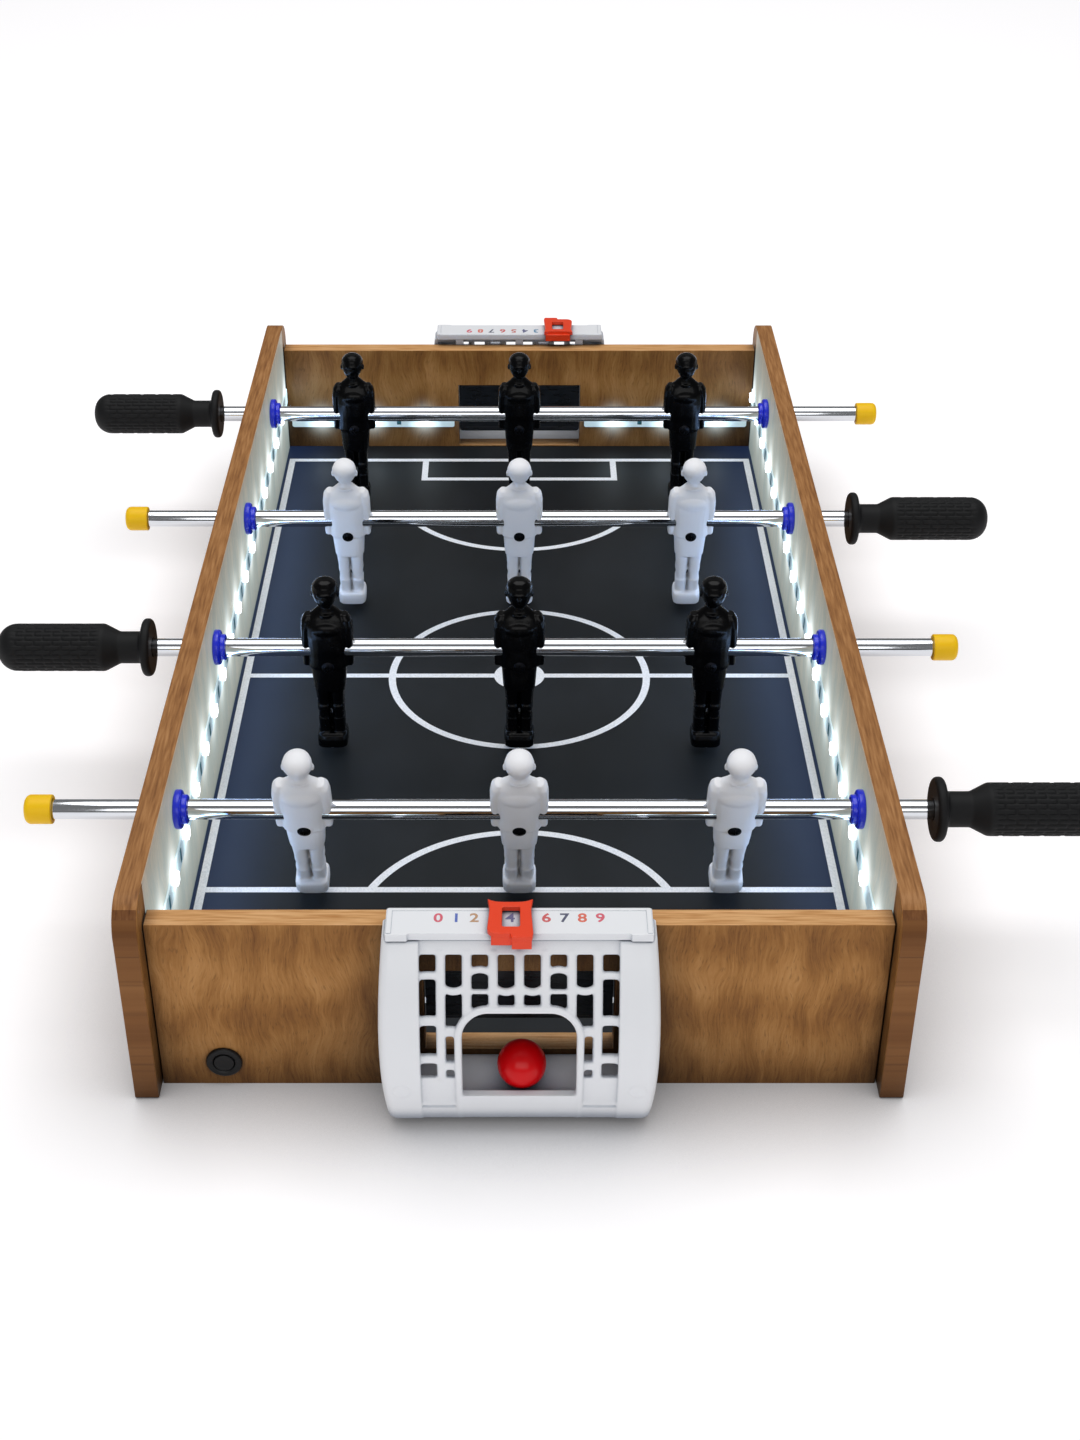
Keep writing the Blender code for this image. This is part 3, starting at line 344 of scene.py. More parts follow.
def oak_laminate(name, run, light_height, chip_place, band_colours):
    """Printed oak: brown face with fine upright streaks, faint arches and short dark pores.

    An orange edge band runs along the tops and the cut ends are darker. The strips' light on
    the inner faces is painted as glow: a pale pool along the strip with a white halo at every
    chip. Shade is painted darker into corners and recesses where ambient occlusion finds them.
    """
    material, shader = new_material(name, "#8d6641", 0.5, Specular_IOR_Level=0.22)
    where = add(material, "TexCoord", {}).outputs["Object"]
    spot = add(material, "SeparateXYZ", {0: where})
    face = add(material, "SeparateXYZ", {0: add(material, "NewGeometry", {}).outputs["Normal"]})
    height = spot.outputs["Z"]
    bend = stretched(material, spot.outputs[run], height, 30 * MM, 45 * MM, Detail=2.0)
    drift = graded(material, bend, -9 * MM, 9 * MM)
    across = add(material, "Math", {0: spot.outputs[run], 1: drift}, operation="ADD").outputs[0]
    broad = stretched(material, across, height, 9 * MM, 120 * MM, Detail=3.0)
    streaks = stretched(material, across, height, 1.1 * MM, 14 * MM, Detail=4.0, Roughness=0.65)
    pores = stretched(material, across, height, 0.55 * MM, 5 * MM, Detail=1.0)
    hill_place = add(
        material, "CombineXYZ",
        {
            "X": add(
                material, "Math", {0: spot.outputs[run], 1: 1 / (95 * MM)}, operation="MULTIPLY"
            ).outputs[0],
            "Y": add(material, "Math", {0: height, 1: 1 / (330 * MM)}, operation="MULTIPLY").outputs[0],
        },
    )
    arches = add(
        material, "TexWave",
        {
            "Vector": hill_place.outputs[0], "Scale": 2.6, "Distortion": 5.0, "Detail": 3.0,
            "Detail Scale": 1.6
        },
        wave_type="RINGS",
    )
    first = add(material, "Mix", {0: 0.55, 2: streaks, 3: broad}, data_type="FLOAT")
    figure = add(material, "Mix", {0: 0.14, 2: first.outputs[0], 3: arches.outputs["Fac"]}, data_type="FLOAT")
    face_colour = add(
        material, "ValToRGB", {"Fac": figure.outputs[0]},
        stops=[(0.3, "#75491f"), (0.45, "#966530"), (0.56, "#ab7840"), (0.72, "#c08d54")],
    )
    pitted = add(material, "MapRange", {"Value": pores, "From Min": 0.3, "From Max": 0.4, "To Min": 0.72})
    pored = add(
        material, "VectorMath", {0: face_colour.outputs[0], 1: pitted.outputs[0]}, operation="MULTIPLY",
    )
    band_place = add(
        material, "VectorMath",
        {0: where, 1: (60.0, 900.0, 300.0) if run == "X" else (900.0, 60.0, 300.0)},
        operation="MULTIPLY",
    )
    band_streaks = add(material, "TexNoise", {"Vector": band_place.outputs[0], "Scale": 1.0, "Detail": 4.0})
    band_colour = add(
        material, "ValToRGB", {"Fac": band_streaks.outputs[0]},
        stops=[(0.28, band_colours[0]), (0.5, band_colours[1]), (0.75, band_colours[2])],
    )
    up = add(material, "Math", {0: face.outputs["Z"], 1: 0.6}, operation="GREATER_THAN")
    wood = add(
        material, "Mix", {0: up.outputs[0], 6: pored.outputs[0], 7: band_colour.outputs[0]}, data_type="RGBA",
    ).outputs[2]
    if run == "Y":
        end_on = add(material, "Math", {0: face.outputs["Y"]}, operation="ABSOLUTE")
        is_end = add(material, "Math", {0: end_on.outputs[0], 1: 0.6}, operation="GREATER_THAN")
        shaded = add(material, "VectorMath", {0: wood, 1: (0.5, 0.42, 0.36)}, operation="MULTIPLY")
        wood = add(
            material, "Mix", {0: is_end.outputs[0], 6: wood, 7: shaded.outputs[0]}, data_type="RGBA",
        ).outputs[2]
    # Painted shade: ambient occlusion darkens the wood in corners, recesses and inside the goal catches, down
    # to an eighth of its colour.
    corner = add(material, "AmbientOcclusion", {"Distance": 60 * MM}, samples=8)
    depth = add(
        material, "MapRange",
        {"Value": corner.outputs["AO"], "From Min": 0.25, "From Max": 0.8, "To Min": 0.12}
    )
    shadowed = add(material, "VectorMath", {0: wood, 1: depth.outputs[0]}, operation="MULTIPLY")
    feed(shader, {"Base Color": shadowed.outputs[0]})
    relief_height = add(material, "Math", {0: streaks, 1: pitted.outputs[0]}, operation="ADD")
    relief = bumped(material, relief_height.outputs[0], 0.2, 0.0002)
    shine = graded(material, streaks, 0.62, 0.42)
    feed(shader, {"Normal": relief, "Roughness": shine})

    # Painted light: the strips' glow on the inner faces is set into emission, a pale pool along each strip
    # and a white halo round every chip, only inside the cabinet.
    rise = add(material, "Math", {0: height, 1: light_height}, operation="SUBTRACT")
    lift = add(
        material, "Math", {0: rise.outputs[0], 1: 13 * MM if run == "Y" else 8 * MM}, operation="DIVIDE"
    )
    aside_middle = spot.outputs[run]
    if run == "X":
        aside_middle = add(material, "Math", {0: aside_middle}, operation="ABSOLUTE").outputs[0]
    from_chip = add(material, "Math", {0: aside_middle, 1: chip_place}, operation="SUBTRACT")
    chip = add(material, "Math", {0: from_chip.outputs[0], 1: CHIP_PITCH / 2}, operation="PINGPONG")
    aside = add(
        material, "Math", {0: chip.outputs[0], 1: 9 * MM if run == "Y" else 7 * MM}, operation="DIVIDE"
    )
    lift_square = add(material, "Math", {0: lift.outputs[0], 1: lift.outputs[0]}, operation="MULTIPLY")
    square = add(
        material, "Math", {0: aside.outputs[0], 1: aside.outputs[0], 2: lift_square.outputs[0]},
        operation="MULTIPLY_ADD",
    )
    chip_halo = add(material, "Math", {0: 0.37, 1: square.outputs[0]}, operation="POWER")
    pool_square = add(material, "Math", {0: lift_square.outputs[0], 1: 0.06}, operation="MULTIPLY")
    strip_light_pool = add(material, "Math", {0: 0.37, 1: pool_square.outputs[0]}, operation="POWER")
    chip_halo_part = add(
        material, "Math", {0: chip_halo.outputs[0], 1: 0.85 if run == "Y" else 0.8}, operation="MULTIPLY"
    )
    painted_wash = add(
        material, "Math", {0: strip_light_pool.outputs[0], 1: 0.6 if run == "Y" else 0.0, 2: chip_halo_part.outputs[0]},
        operation="MULTIPLY_ADD",
    )
    inside = add(
        material, "Math",
        {
            0: add(material, "Math", {0: spot.outputs["X"]}, operation="ABSOLUTE").outputs[0],
            1: SIDE_IN + 0.2 * MM,
        },
        operation="LESS_THAN",
    )
    between_ends = add(
        material, "Math",
        {
            0: add(material, "Math", {0: spot.outputs["Y"]}, operation="ABSOLUTE").outputs[0],
            1: END_INNER + 0.2 * MM,
        },
        operation="LESS_THAN",
    )
    indoors = add(material, "Math", {0: inside.outputs[0], 1: between_ends.outputs[0]}, operation="MULTIPLY")
    strength = add(material, "Math", {0: painted_wash.outputs[0], 1: indoors.outputs[0]}, operation="MULTIPLY")
    tint = add(
        material, "Mix", {0: chip_halo.outputs[0], 6: linear("#c6d9d6"), 7: linear("#f0fbff")}, data_type="RGBA",
    )
    feed(shader, {"Emission Color": tint.outputs[2], "Emission Strength": strength.outputs[0]})
    return material


SIDE_RUN = 301.5 * MM                # half the side boards' length
SIDE_TOP = 99 * MM
SIDE_OUT = 160 * MM
ROW_PLACES = (203.4 * MM, 67.8 * MM, -67.8 * MM, -203.4 * MM)
ROD_HEIGHT = 78 * MM
ROD_RADIUS = 4.5 * MM
BORE_RADIUS = 6.8 * MM
END_FACE = 292 * MM
END_TOP = 85.5 * MM
FIELD_TOP = 19 * MM

side_oak = oak_laminate("oak_laminate_side", "Y", LIGHT_HEIGHT, CHIP_START, ("#7d5029", "#9c6b3c", "#b58352"))
end_oak = oak_laminate(
    "oak_laminate_end", "X", END_LIGHT_HEIGHT, END_STRIP_PLACE, ("#b57e46", "#cf9c65", "#e2b37f")
)

side_outline = rounded(
    [
        (-SIDE_RUN, 0.0, 1.5 * MM),
        (SIDE_RUN, 0.0, 1.5 * MM),
        (SIDE_RUN, SIDE_TOP, 14 * MM),
        (-SIDE_RUN, SIDE_TOP, 14 * MM),
    ],
    12,
)
row_bores = []
for row_place in ROW_PLACES:
    shaft = [(-0.02, 0.0), (-0.02, BORE_RADIUS), (0.02, BORE_RADIUS), (0.02, 0.0)]
    row_bores.append(moved(lathe("bore", shaft, 40), (SIDE_IN, row_place, ROD_HEIGHT)))
side_board = carve(prism("side_board", side_outline, SIDE_IN, SIDE_OUT), joined("bores", row_bores))
for side_name, side_turn in (("right", 0.0), ("left", math.pi)):
    piece = show(
        f"{side_name}_board", moved(side_board, turn=side_turn), [side_oak], "root",
        [f"side_board_{side_name}"],
    )
    ease(piece, 0.5 * MM, 3)

HOLE_HALF = 39 * MM
HOLE_LOW = 19.5 * MM
HOLE_HIGH = 61.5 * MM
SWITCH_SPOT = (-123 * MM, -END_FACE, 12.6 * MM)
half_board = 149.5 * MM
board_outline = rectangle(-half_board, 0.0, half_board, END_TOP)
hole_outline = rectangle(-HOLE_HALF, HOLE_LOW, HOLE_HALF, HOLE_HIGH)
end_board = carve(
    prism("end_board", board_outline, -END_FACE, -END_INNER, "Y"),
    prism("hole", hole_outline, -0.32, -0.26, "Y"),
)
switch_hole = [(-0.02, 0.0), (-0.02, 5.8 * MM), (0.02, 5.8 * MM), (0.02, 0.0)]
switch_bore = moved(lathe("bore", switch_hole, 40), SWITCH_SPOT, math.radians(90))
near_board = show(
    "near_board", carve(end_board.copy(), switch_bore), [end_oak], "root",
    ["end_board_near"],
)
far_board = show(
    "far_board", moved(end_board, turn=math.pi), [end_oak], "root",
    ["end_board_far"],
)
for piece in (near_board, far_board):
    ease(piece, 0.45 * MM, 3)

# Dry softwood strip, sawn: pale, with straight grain and no sheen.
sawn_pine, pine_shader = new_material("sawn_pine", "#b98f5d", 0.75)
pine_place = add(
    sawn_pine, "VectorMath",
    {0: add(sawn_pine, "TexCoord", {}).outputs["Object"], 1: (500.0, 25.0, 500.0)},
    operation="MULTIPLY",
)
pine_grain = add(sawn_pine, "TexNoise", {"Vector": pine_place.outputs[0], "Scale": 1.0, "Detail": 4.0})
pine_colour = add(
    sawn_pine, "ValToRGB", {"Fac": pine_grain.outputs[0]}, stops=[(0.3, "#9d7443"), (0.7, "#d0a873")],
)
feed(pine_shader, {"Base Color": pine_colour.outputs[0]})
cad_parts["field_frame"].data.materials.clear()
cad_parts["field_frame"].data.materials.append(sawn_pine)


# ---- Cabinet screws -------------------------------------------------------------------
# Two zinc countersunk screws at each corner draw the side boards onto the end boards.
# They are driven from outside, a little below the laminate's surface.

SCREW_RADIUS = 3.6 * MM


def cross_recess(depth, reach):
    """Cross-shaped recess for a driver, cut along X."""
    half = reach * 0.22
    quarter_turn = [(reach, -half), (reach, half), (half, half)]
    outline = []
    for turn in range(4):
        cosine, sine = ((1, 0), (0, 1), (-1, 0), (0, -1))[turn]
        outline += [(a * cosine - b * sine, a * sine + b * cosine) for a, b in quarter_turn]
    return prism("cross", outline, -depth, depth)


# Bright zinc plate: pale grey metal with a faint brushed spread of roughness.
zinc_plate, zinc_shader = new_material("zinc_plate", "#b9bcc0", 0.35, Metallic=1.0)
zinc_noise = add(zinc_plate, "TexNoise", {"Scale": 1800.0, "Detail": 3.0})
zinc_rough = graded(zinc_plate, zinc_noise.outputs[0], 0.25, 0.5)
feed(zinc_shader, {"Roughness": zinc_rough})
screw_profile = [
    (-0.6 * MM, 0.0), (-0.6 * MM, SCREW_RADIUS * 0.9), (-0.1 * MM, SCREW_RADIUS), (0.0, SCREW_RADIUS * 0.97)
]
screw_profile += [(-0.05 * MM, 0.0)]
screw_head = carve(lathe("screw_head", screw_profile, 32), cross_recess(0.35 * MM, SCREW_RADIUS * 0.55))
corner_screws = []
for side_sign in (-1, 1):
    for end_sign in (-1, 1):
        for height in (22 * MM, 64 * MM):
            spot = (side_sign * (SIDE_OUT - 0.02 * MM), end_sign * (END_FACE + END_INNER) / 2, height)
            corner_screws.append(moved(screw_head, spot, 0.0 if side_sign > 0 else math.pi))
show("cabinet_screws", joined("cabinet_screws", corner_screws), [zinc_plate], "root")


# ---- Playfield ------------------------------------------------------------------------
# A 3 mm sheet of hardboard faced with satin black melamine. The pitch is screen printed
# on it in white ink, a film thin enough to feel but not to catch the ball.

LINE_WIDTH = 3.8 * MM
INK_THICKNESS = 0.04 * MM

# Satin black melamine: cool dark grey with a fine orange peel that blurs what it mirrors.
black_melamine, melamine_shader = new_material(
    "satin_black_melamine", "#1d2226", 0.45, Specular_IOR_Level=0.2,
)
peel = add(black_melamine, "TexNoise", {"Scale": 1400.0, "Detail": 3.0})
feed(melamine_shader, {"Normal": bumped(black_melamine, peel.outputs[0], 0.05, 0.0001)})
cloud = add(black_melamine, "TexNoise", {"Scale": 9.0, "Detail": 2.0})
melamine_colour = add(
    black_melamine, "ValToRGB", {"Fac": cloud.outputs[0]}, stops=[(0.3, "#15191c"), (0.7, "#1c2024")],
)
# Painted light: a blue glow is set into the field's emission towards its two long edges, where the light
# strips would wash it.
field_spot = add(
    black_melamine, "SeparateXYZ", {0: add(black_melamine, "TexCoord", {}).outputs["Object"]},
)
off_centre = add(black_melamine, "Math", {0: field_spot.outputs["X"]}, operation="ABSOLUTE")
painted_wall_glow = add(
    black_melamine, "MapRange",
    {"Value": off_centre.outputs[0], "From Min": 0.105, "From Max": 0.15, "To Max": 0.1},
    interpolation_type="SMOOTHSTEP",
)
feed(melamine_shader, {
    "Base Color": melamine_colour.outputs[0],
    "Emission Color": linear("#3f66b4"),
    "Emission Strength": painted_wall_glow.outputs[0],
})
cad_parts["playfield"].data.materials.clear()
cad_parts["playfield"].data.materials.append(black_melamine)


def ribbon(bm, points, width, low, high, closed=False):
    """Flat printed line along points in X and Y."""
    rails = []
    count = len(points)
    for index, point in enumerate(points):
        before = points[index - 1] if closed or index else point
        after = points[(index + 1) % count] if closed or index < count - 1 else point
        along = (Vector(after) - Vector(before)).normalized()
        out = Vector((-along.y, along.x)) * width / 2
        left, right = Vector(point) + out, Vector(point) - out
        rails.append(
            [bm.verts.new((*spot, z)) for spot, z in ((left, low), (right, low), (right, high), (left, high))]
        )
    pairs = list(zip(rails, rails[1:] + rails[:1])) if closed else list(zip(rails, rails[1:]))
    for first, second in pairs:
        for index in range(4):
            after = (index + 1) % 4
            bm.faces.new((first[index], first[after], second[after], second[index]))
    if not closed:
        bm.faces.new(rails[0])
        bm.faces.new(rails[-1])


def arc(centre, radius, start, end, steps):
    """Points of an arc in X and Y, its angles in degrees from +X."""
    spots = []
    for step in range(steps + 1):
        angle = math.radians(start + (end - start) * step / steps)
        spots.append((centre[0] + radius * math.cos(angle), centre[1] + radius * math.sin(angle)))
    return spots


TOUCH_LINE = 146 * MM
GOAL_LINE = 261 * MM
PENALTY_LINE = 185 * MM
GOAL_BOX_HALF = 60 * MM
GOAL_BOX_DEPTH = 27 * MM
CENTRE_RADIUS = 68 * MM
CENTRE_SPOT_RADIUS = 13.5 * MM
PENALTY_ARC_RADIUS = 75.3 * MM
PENALTY_ARC_HALF_CHORD = 68.5 * MM

print_film = bmesh.new()
film_low = FIELD_TOP + 0.005 * MM
film_high = FIELD_TOP + INK_THICKNESS
half_line = LINE_WIDTH / 2
border = rectangle(-TOUCH_LINE, -GOAL_LINE, TOUCH_LINE, GOAL_LINE)
for index, corner in enumerate(border):
    after = border[(index + 1) % 4]
    step = (Vector(after) - Vector(corner)).normalized() * half_line
    ribbon(
        print_film, [tuple(Vector(corner) - step), tuple(Vector(after) + step)], LINE_WIDTH, film_low,
        film_high + index * 1e-6
    )
ribbon(print_film, [(-TOUCH_LINE, 0.0), (TOUCH_LINE, 0.0)], LINE_WIDTH, film_low, film_high + 5e-6)
ribbon(
    print_film, arc((0.0, 0.0), CENTRE_RADIUS, 0.0, 360.0, 96)[:-1], LINE_WIDTH, film_low, film_high + 6e-6,
    True
)
for end_sign in (-1, 1):
    penalty = end_sign * PENALTY_LINE
    ribbon(
        print_film, [(-TOUCH_LINE, penalty), (TOUCH_LINE, penalty)], LINE_WIDTH, film_low, film_high + 7e-6
    )
    open_half = math.degrees(math.asin(PENALTY_ARC_HALF_CHORD / PENALTY_ARC_RADIUS))
    arc_centre = (0.0, penalty + end_sign * PENALTY_ARC_RADIUS * math.cos(math.radians(open_half)))
    middle = -90.0 * end_sign
    ribbon(
        print_film, arc(arc_centre, PENALTY_ARC_RADIUS, middle - open_half, middle + open_half, 48),
        LINE_WIDTH, film_low, film_high + 8e-6,
    )
    box_line = end_sign * (GOAL_LINE - GOAL_BOX_DEPTH)
    corner = half_line
    ribbon(
        print_film, [(-GOAL_BOX_HALF - corner, box_line), (GOAL_BOX_HALF + corner, box_line)],
        LINE_WIDTH, film_low, film_high + 9e-6,
    )
    for side_sign in (-1, 1):
        ribbon(
            print_film,
            [(side_sign * GOAL_BOX_HALF, end_sign * GOAL_LINE), (side_sign * GOAL_BOX_HALF, box_line)],
            LINE_WIDTH, film_low, film_high + 1e-5,
        )
spot_circle = arc((0.0, 0.0), CENTRE_SPOT_RADIUS, 0.0, 360.0, 64)[:-1]
spot_ring = [print_film.verts.new((x, y, film_high + 1.2e-5)) for x, y in spot_circle]
spot_foot = [print_film.verts.new((v.co.x, v.co.y, film_low)) for v in spot_ring]
print_film.faces.new(spot_ring)
print_film.faces.new(spot_foot)
for index in range(len(spot_ring)):
    after = (index + 1) % len(spot_ring)
    print_film.faces.new((spot_foot[index], spot_foot[after], spot_ring[after], spot_ring[index]))

# White screen ink: flat and slightly chalky, a touch uneven where the squeegee passed.
screen_ink, ink_shader = new_material("white_screen_ink", "#dfe2e6", 0.6)
ink_noise = add(screen_ink, "TexNoise", {"Scale": 420.0, "Detail": 4.0})
ink_colour = add(
    screen_ink, "ValToRGB", {"Fac": ink_noise.outputs[0]}, stops=[(0.25, "#d3d7dc"), (0.6, "#eceef1")]
)
feed(ink_shader, {"Base Color": ink_colour.outputs[0]})
show("pitch_print", finished(print_film, "pitch_print"), [screen_ink], "root")


# ---- Light strips ---------------------------------------------------------------------
# Self-adhesive strips of cool white chips, thirty to the metre, under clear silicone.
# Two run down the long walls, and four short ones sit beside the goals.

STRIP_HALF = 5 * MM
STRIP_THICK = 0.8 * MM
CHIP_SIZE = 5.0 * MM
CHIP_THICK = 1.4 * MM
SIDE_STRIP_LENGTH = 558 * MM
END_STRIP_LENGTH = 105 * MM


def lit_silicone(name, chip_place):
    """White circuit under silicone: pale between its chips, blown out round each one."""
    material, shader = new_material(name, "#c9d6da", 0.3, Coat_Weight=0.4)
    spot = add(material, "SeparateXYZ", {0: add(material, "TexCoord", {}).outputs["Object"]})
    from_chip = add(material, "Math", {0: spot.outputs["X"], 1: chip_place}, operation="SUBTRACT")
    chip = add(material, "Math", {0: from_chip.outputs[0], 1: CHIP_PITCH / 2}, operation="PINGPONG")
    lit = add(
        material, "MapRange",
        {"Value": chip.outputs[0], "From Min": 3 * MM, "From Max": 13 * MM, "To Min": 1.6, "To Max": 0.42},
        interpolation_type="SMOOTHSTEP",
    )
    feed(shader, {"Emission Color": linear("#c4e2ea"), "Emission Strength": lit.outputs[0]})
    ripple = add(material, "TexNoise", {"Scale": 300.0, "Detail": 2.0})
    relief = bumped(material, ripple.outputs[0], 0.1, 0.0002)
    feed(shader, {"Normal": relief})
    return material


# Phosphor window of a chip: blown-out white with a trace of blue at its rim.
chip_glow, chip_shader = new_material("chip_phosphor", "#ffffff", 0.4)
feed(chip_shader, {"Emission Color": linear("#eef6ff"), "Emission Strength": 5.0})
speckle = add(chip_glow, "TexNoise", {"Scale": 2500.0, "Detail": 1.0})
feed(chip_shader, {"Normal": bumped(chip_glow, speckle.outputs[0], 0.1, 0.0001)})
# Tinned copper pads between the chips: dull silver-green under the silicone.
copper_pad, pad_shader = new_material("tinned_pads", "#4d8f9c", 0.4, Metallic=0.6)
pad_noise = add(copper_pad, "TexNoise", {"Scale": 900.0})
feed(pad_shader, {"Roughness": graded(copper_pad, pad_noise.outputs[0], 0.3, 0.6)})


def box_outline(half_a, half_b, radius):
    return rounded(
        [
            (-half_a, -half_b, radius), (half_a, -half_b, radius), (half_a, half_b, radius),
            (-half_a, half_b, radius)
        ],
        3
    )


def strip_mesh(length, start=0.0):
    """Strip along X with its chips facing -Y and its back at y = 0; slots 0 to 2 of the materials."""
    back = -0.3 * MM
    face = back - STRIP_THICK
    tape = prism("tape", box_outline(length / 2, STRIP_HALF, 1.2 * MM), face, back, "Y")
    chips = []
    pads = []
    count = int(length / CHIP_PITCH)
    first = start - int(count / 2) * CHIP_PITCH
    chip = prism(
        "chip", box_outline(CHIP_SIZE / 2, CHIP_SIZE / 2, 0.7 * MM), face - CHIP_THICK, face + 0.1 * MM, "Y"
    )
    pad = prism("pad", box_outline(1.4 * MM, 3.2 * MM, 0.3 * MM), face - 0.15 * MM, face + 0.1 * MM, "Y")
    for index in range(count):
        place = first + index * CHIP_PITCH
        chips.append(moved(chip, (place, 0.0, 0.0)))
        if index < count - 1:
            pads.append(moved(pad, (place + CHIP_PITCH / 2, 0.0, 0.0)))
    groups = [joined("tape", [tape]), joined("chips", chips), joined("pads", pads)]
    bm = bmesh.new()
    for number, mesh in enumerate(groups):
        known = len(bm.faces)
        bm.from_mesh(mesh)
        bm.faces.ensure_lookup_table()
        for face_index in range(known, len(bm.faces)):
            bm.faces[face_index].material_index = number
    return finished(bm, "light_strip")


quarter = math.radians(90)
for side_name, side_sign in (("left", -1), ("right", 1)):
    show(
        f"light_strip_{side_name}", strip_mesh(SIDE_STRIP_LENGTH, -side_sign * CHIP_START),
        [lit_silicone("side_silicone", -side_sign * CHIP_START), chip_glow, copper_pad], "root",
        [f"led_strip_{side_name}"],
        (side_sign * SIDE_IN, 0.0, LIGHT_HEIGHT), (0.0, 0.0, -side_sign * quarter),
    )
end_strip = strip_mesh(END_STRIP_LENGTH)
for end_name, end_sign in (("near", -1), ("far", 1)):
    for side_name, side_sign in (("left", -1), ("right", 1)):
        name = f"{end_name}_{side_name}"
        show(
            f"light_strip_{name}", end_strip, [lit_silicone("end_silicone", 0.0), chip_glow, copper_pad],
            "root", [f"led_strip_{name}"],
            (side_sign * END_STRIP_PLACE, end_sign * END_INNER, END_LIGHT_HEIGHT),
            (0.0, 0.0, 0.0 if end_sign > 0 else math.pi),
        )

# The strips' own light: two thin blue-white lamps that rim the players and rods.
for side_name, side_sign in (("left", -1), ("right", 1)):
    glow_place = (side_sign * (SIDE_IN - 3.5 * MM), 0.0, LIGHT_HEIGHT)
    strip_lamp = softbox(
        f"strip_glow_{side_name}", glow_place, (0.0, 0.0, LIGHT_HEIGHT), 0.55, 0.008, 0.11, "#8fbcff"
    )
    strip_lamp.rotation_euler = (quarter, 0.0, side_sign * quarter)


# ---- Bearing bushes -------------------------------------------------------------------
# Blue nylon bushes pressed into the side boards from inside: a thick flange, a short hub
# towards the field, and a sleeve through the board that keeps the rod off the wood.

# Moulded nylon: deep saturated blue that lets some light in, so thin edges glow.
blue_nylon, nylon_shader = new_material(
    "moulded_blue_nylon", "#1226e0", 0.3,
    Subsurface_Weight=0.25, Subsurface_Radius=(0.001, 0.002, 0.008), Coat_Weight=0.25, Coat_Roughness=0.15,
)
nylon_noise = add(blue_nylon, "TexNoise", {"Scale": 700.0, "Detail": 2.0})
nylon_colour = add(
    blue_nylon, "ValToRGB", {"Fac": nylon_noise.outputs[0]}, stops=[(0.3, "#0f20cc"), (0.7, "#1a34f0")]
)
feed(nylon_shader, {"Base Color": nylon_colour.outputs[0]})

bush_corners = [
    (-10 * MM, 4.8 * MM, 0.3 * MM),
    (-10 * MM, 6.5 * MM, 0.3 * MM),
    (0.3 * MM, 6.5 * MM, 0.1 * MM),
    (0.3 * MM, 8.75 * MM, 0.6 * MM),
    (3.5 * MM, 8.75 * MM, 1.1 * MM),
    (3.5 * MM, 6.5 * MM, 0.5 * MM),
    (5.9 * MM, 6.5 * MM, 0.8 * MM),
    (5.9 * MM, 4.8 * MM, 0.4 * MM),
]
bush = lathe("bush", rounded(bush_corners, 4), 56, closed=True, sharp=50.0)
for row_number, row_place in enumerate(ROW_PLACES, 1):
    for side_name, side_sign in (("left", -1), ("right", 1)):
        show(
            f"bush_{row_number}_{side_name}", bush, [blue_nylon], "root",
            [f"bearing_{row_number}_{side_name}"],
            (side_sign * SIDE_IN, row_place, ROD_HEIGHT), (0.0, 0.0, math.pi if side_sign > 0 else 0.0),
        )


# ---- Rods -----------------------------------------------------------------------------
# Thin steel tubes, ground and chromed. Each slides through its two bushes and carries
# three players, a grip on one end and a cap on the other.

ROD_CAP_END = 212.2 * MM
ROD_GRIP_END = 238.7 * MM
ROD_BORE = 3.5 * MM

# Chrome plate over ground steel: a mirror with faint rings of polishing around the tube.
chrome, chrome_shader = new_material("polished_chrome", "#dcdfe4", 0.09, Metallic=1.0)
ring_place = add(
    chrome, "VectorMath", {0: add(chrome, "TexCoord", {}).outputs["Object"], 1: (3000.0, 40.0, 40.0)},
    operation="MULTIPLY",
)
rings = add(chrome, "TexNoise", {"Vector": ring_place.outputs[0], "Scale": 1.0, "Detail": 2.0})
feed(chrome_shader, {
    "Roughness": graded(chrome, rings.outputs[0], 0.04, 0.1),
})
rod_corners = [
    (-ROD_CAP_END, ROD_BORE, 0.15 * MM),
    (-ROD_CAP_END, ROD_RADIUS, 0.3 * MM),
    (ROD_GRIP_END, ROD_RADIUS, 0.3 * MM),
    (ROD_GRIP_END, ROD_BORE, 0.15 * MM),
]
rod_tube = lathe("rod_tube", rounded(rod_corners, 3), 64, closed=True)
GRIP_SIDES = (-1, 1, -1, 1)           # rows from the far end: grip at -X or +X
TILTS = (0.0, 9.0, 0.0, 17.5)
for row_number, (row_place, grip_side) in enumerate(zip(ROW_PLACES, GRIP_SIDES), 1):
    show(
        f"rod_tube_{row_number}", rod_tube, [chrome], f"rod_body_{row_number}",
        [f"rod_{row_number}"], (0.0, row_place, ROD_HEIGHT), (0.0, 0.0, 0.0 if grip_side > 0 else math.pi),
    )


# ---- Grips ----------------------------------------------------------------------------
# Moulded rubber grips pushed onto the rods. A stop flange faces the cabinet, then a smooth
# neck, and the barrel has fine long ribs broken in a brick pattern up to the domed end.

GRIP_PLACE = 180 * MM
GRIP_LENGTH = 76 * MM
GRIP_RADIUS = 11.75 * MM
GRIP_BORE = 4.8 * MM
RIB_COUNT = 30
RIB_HEIGHT = 0.55 * MM
RIB_RUN = 9.0 * MM                    # length of one rib with its break
RIB_START = 25 * MM
RIB_END = 68 * MM


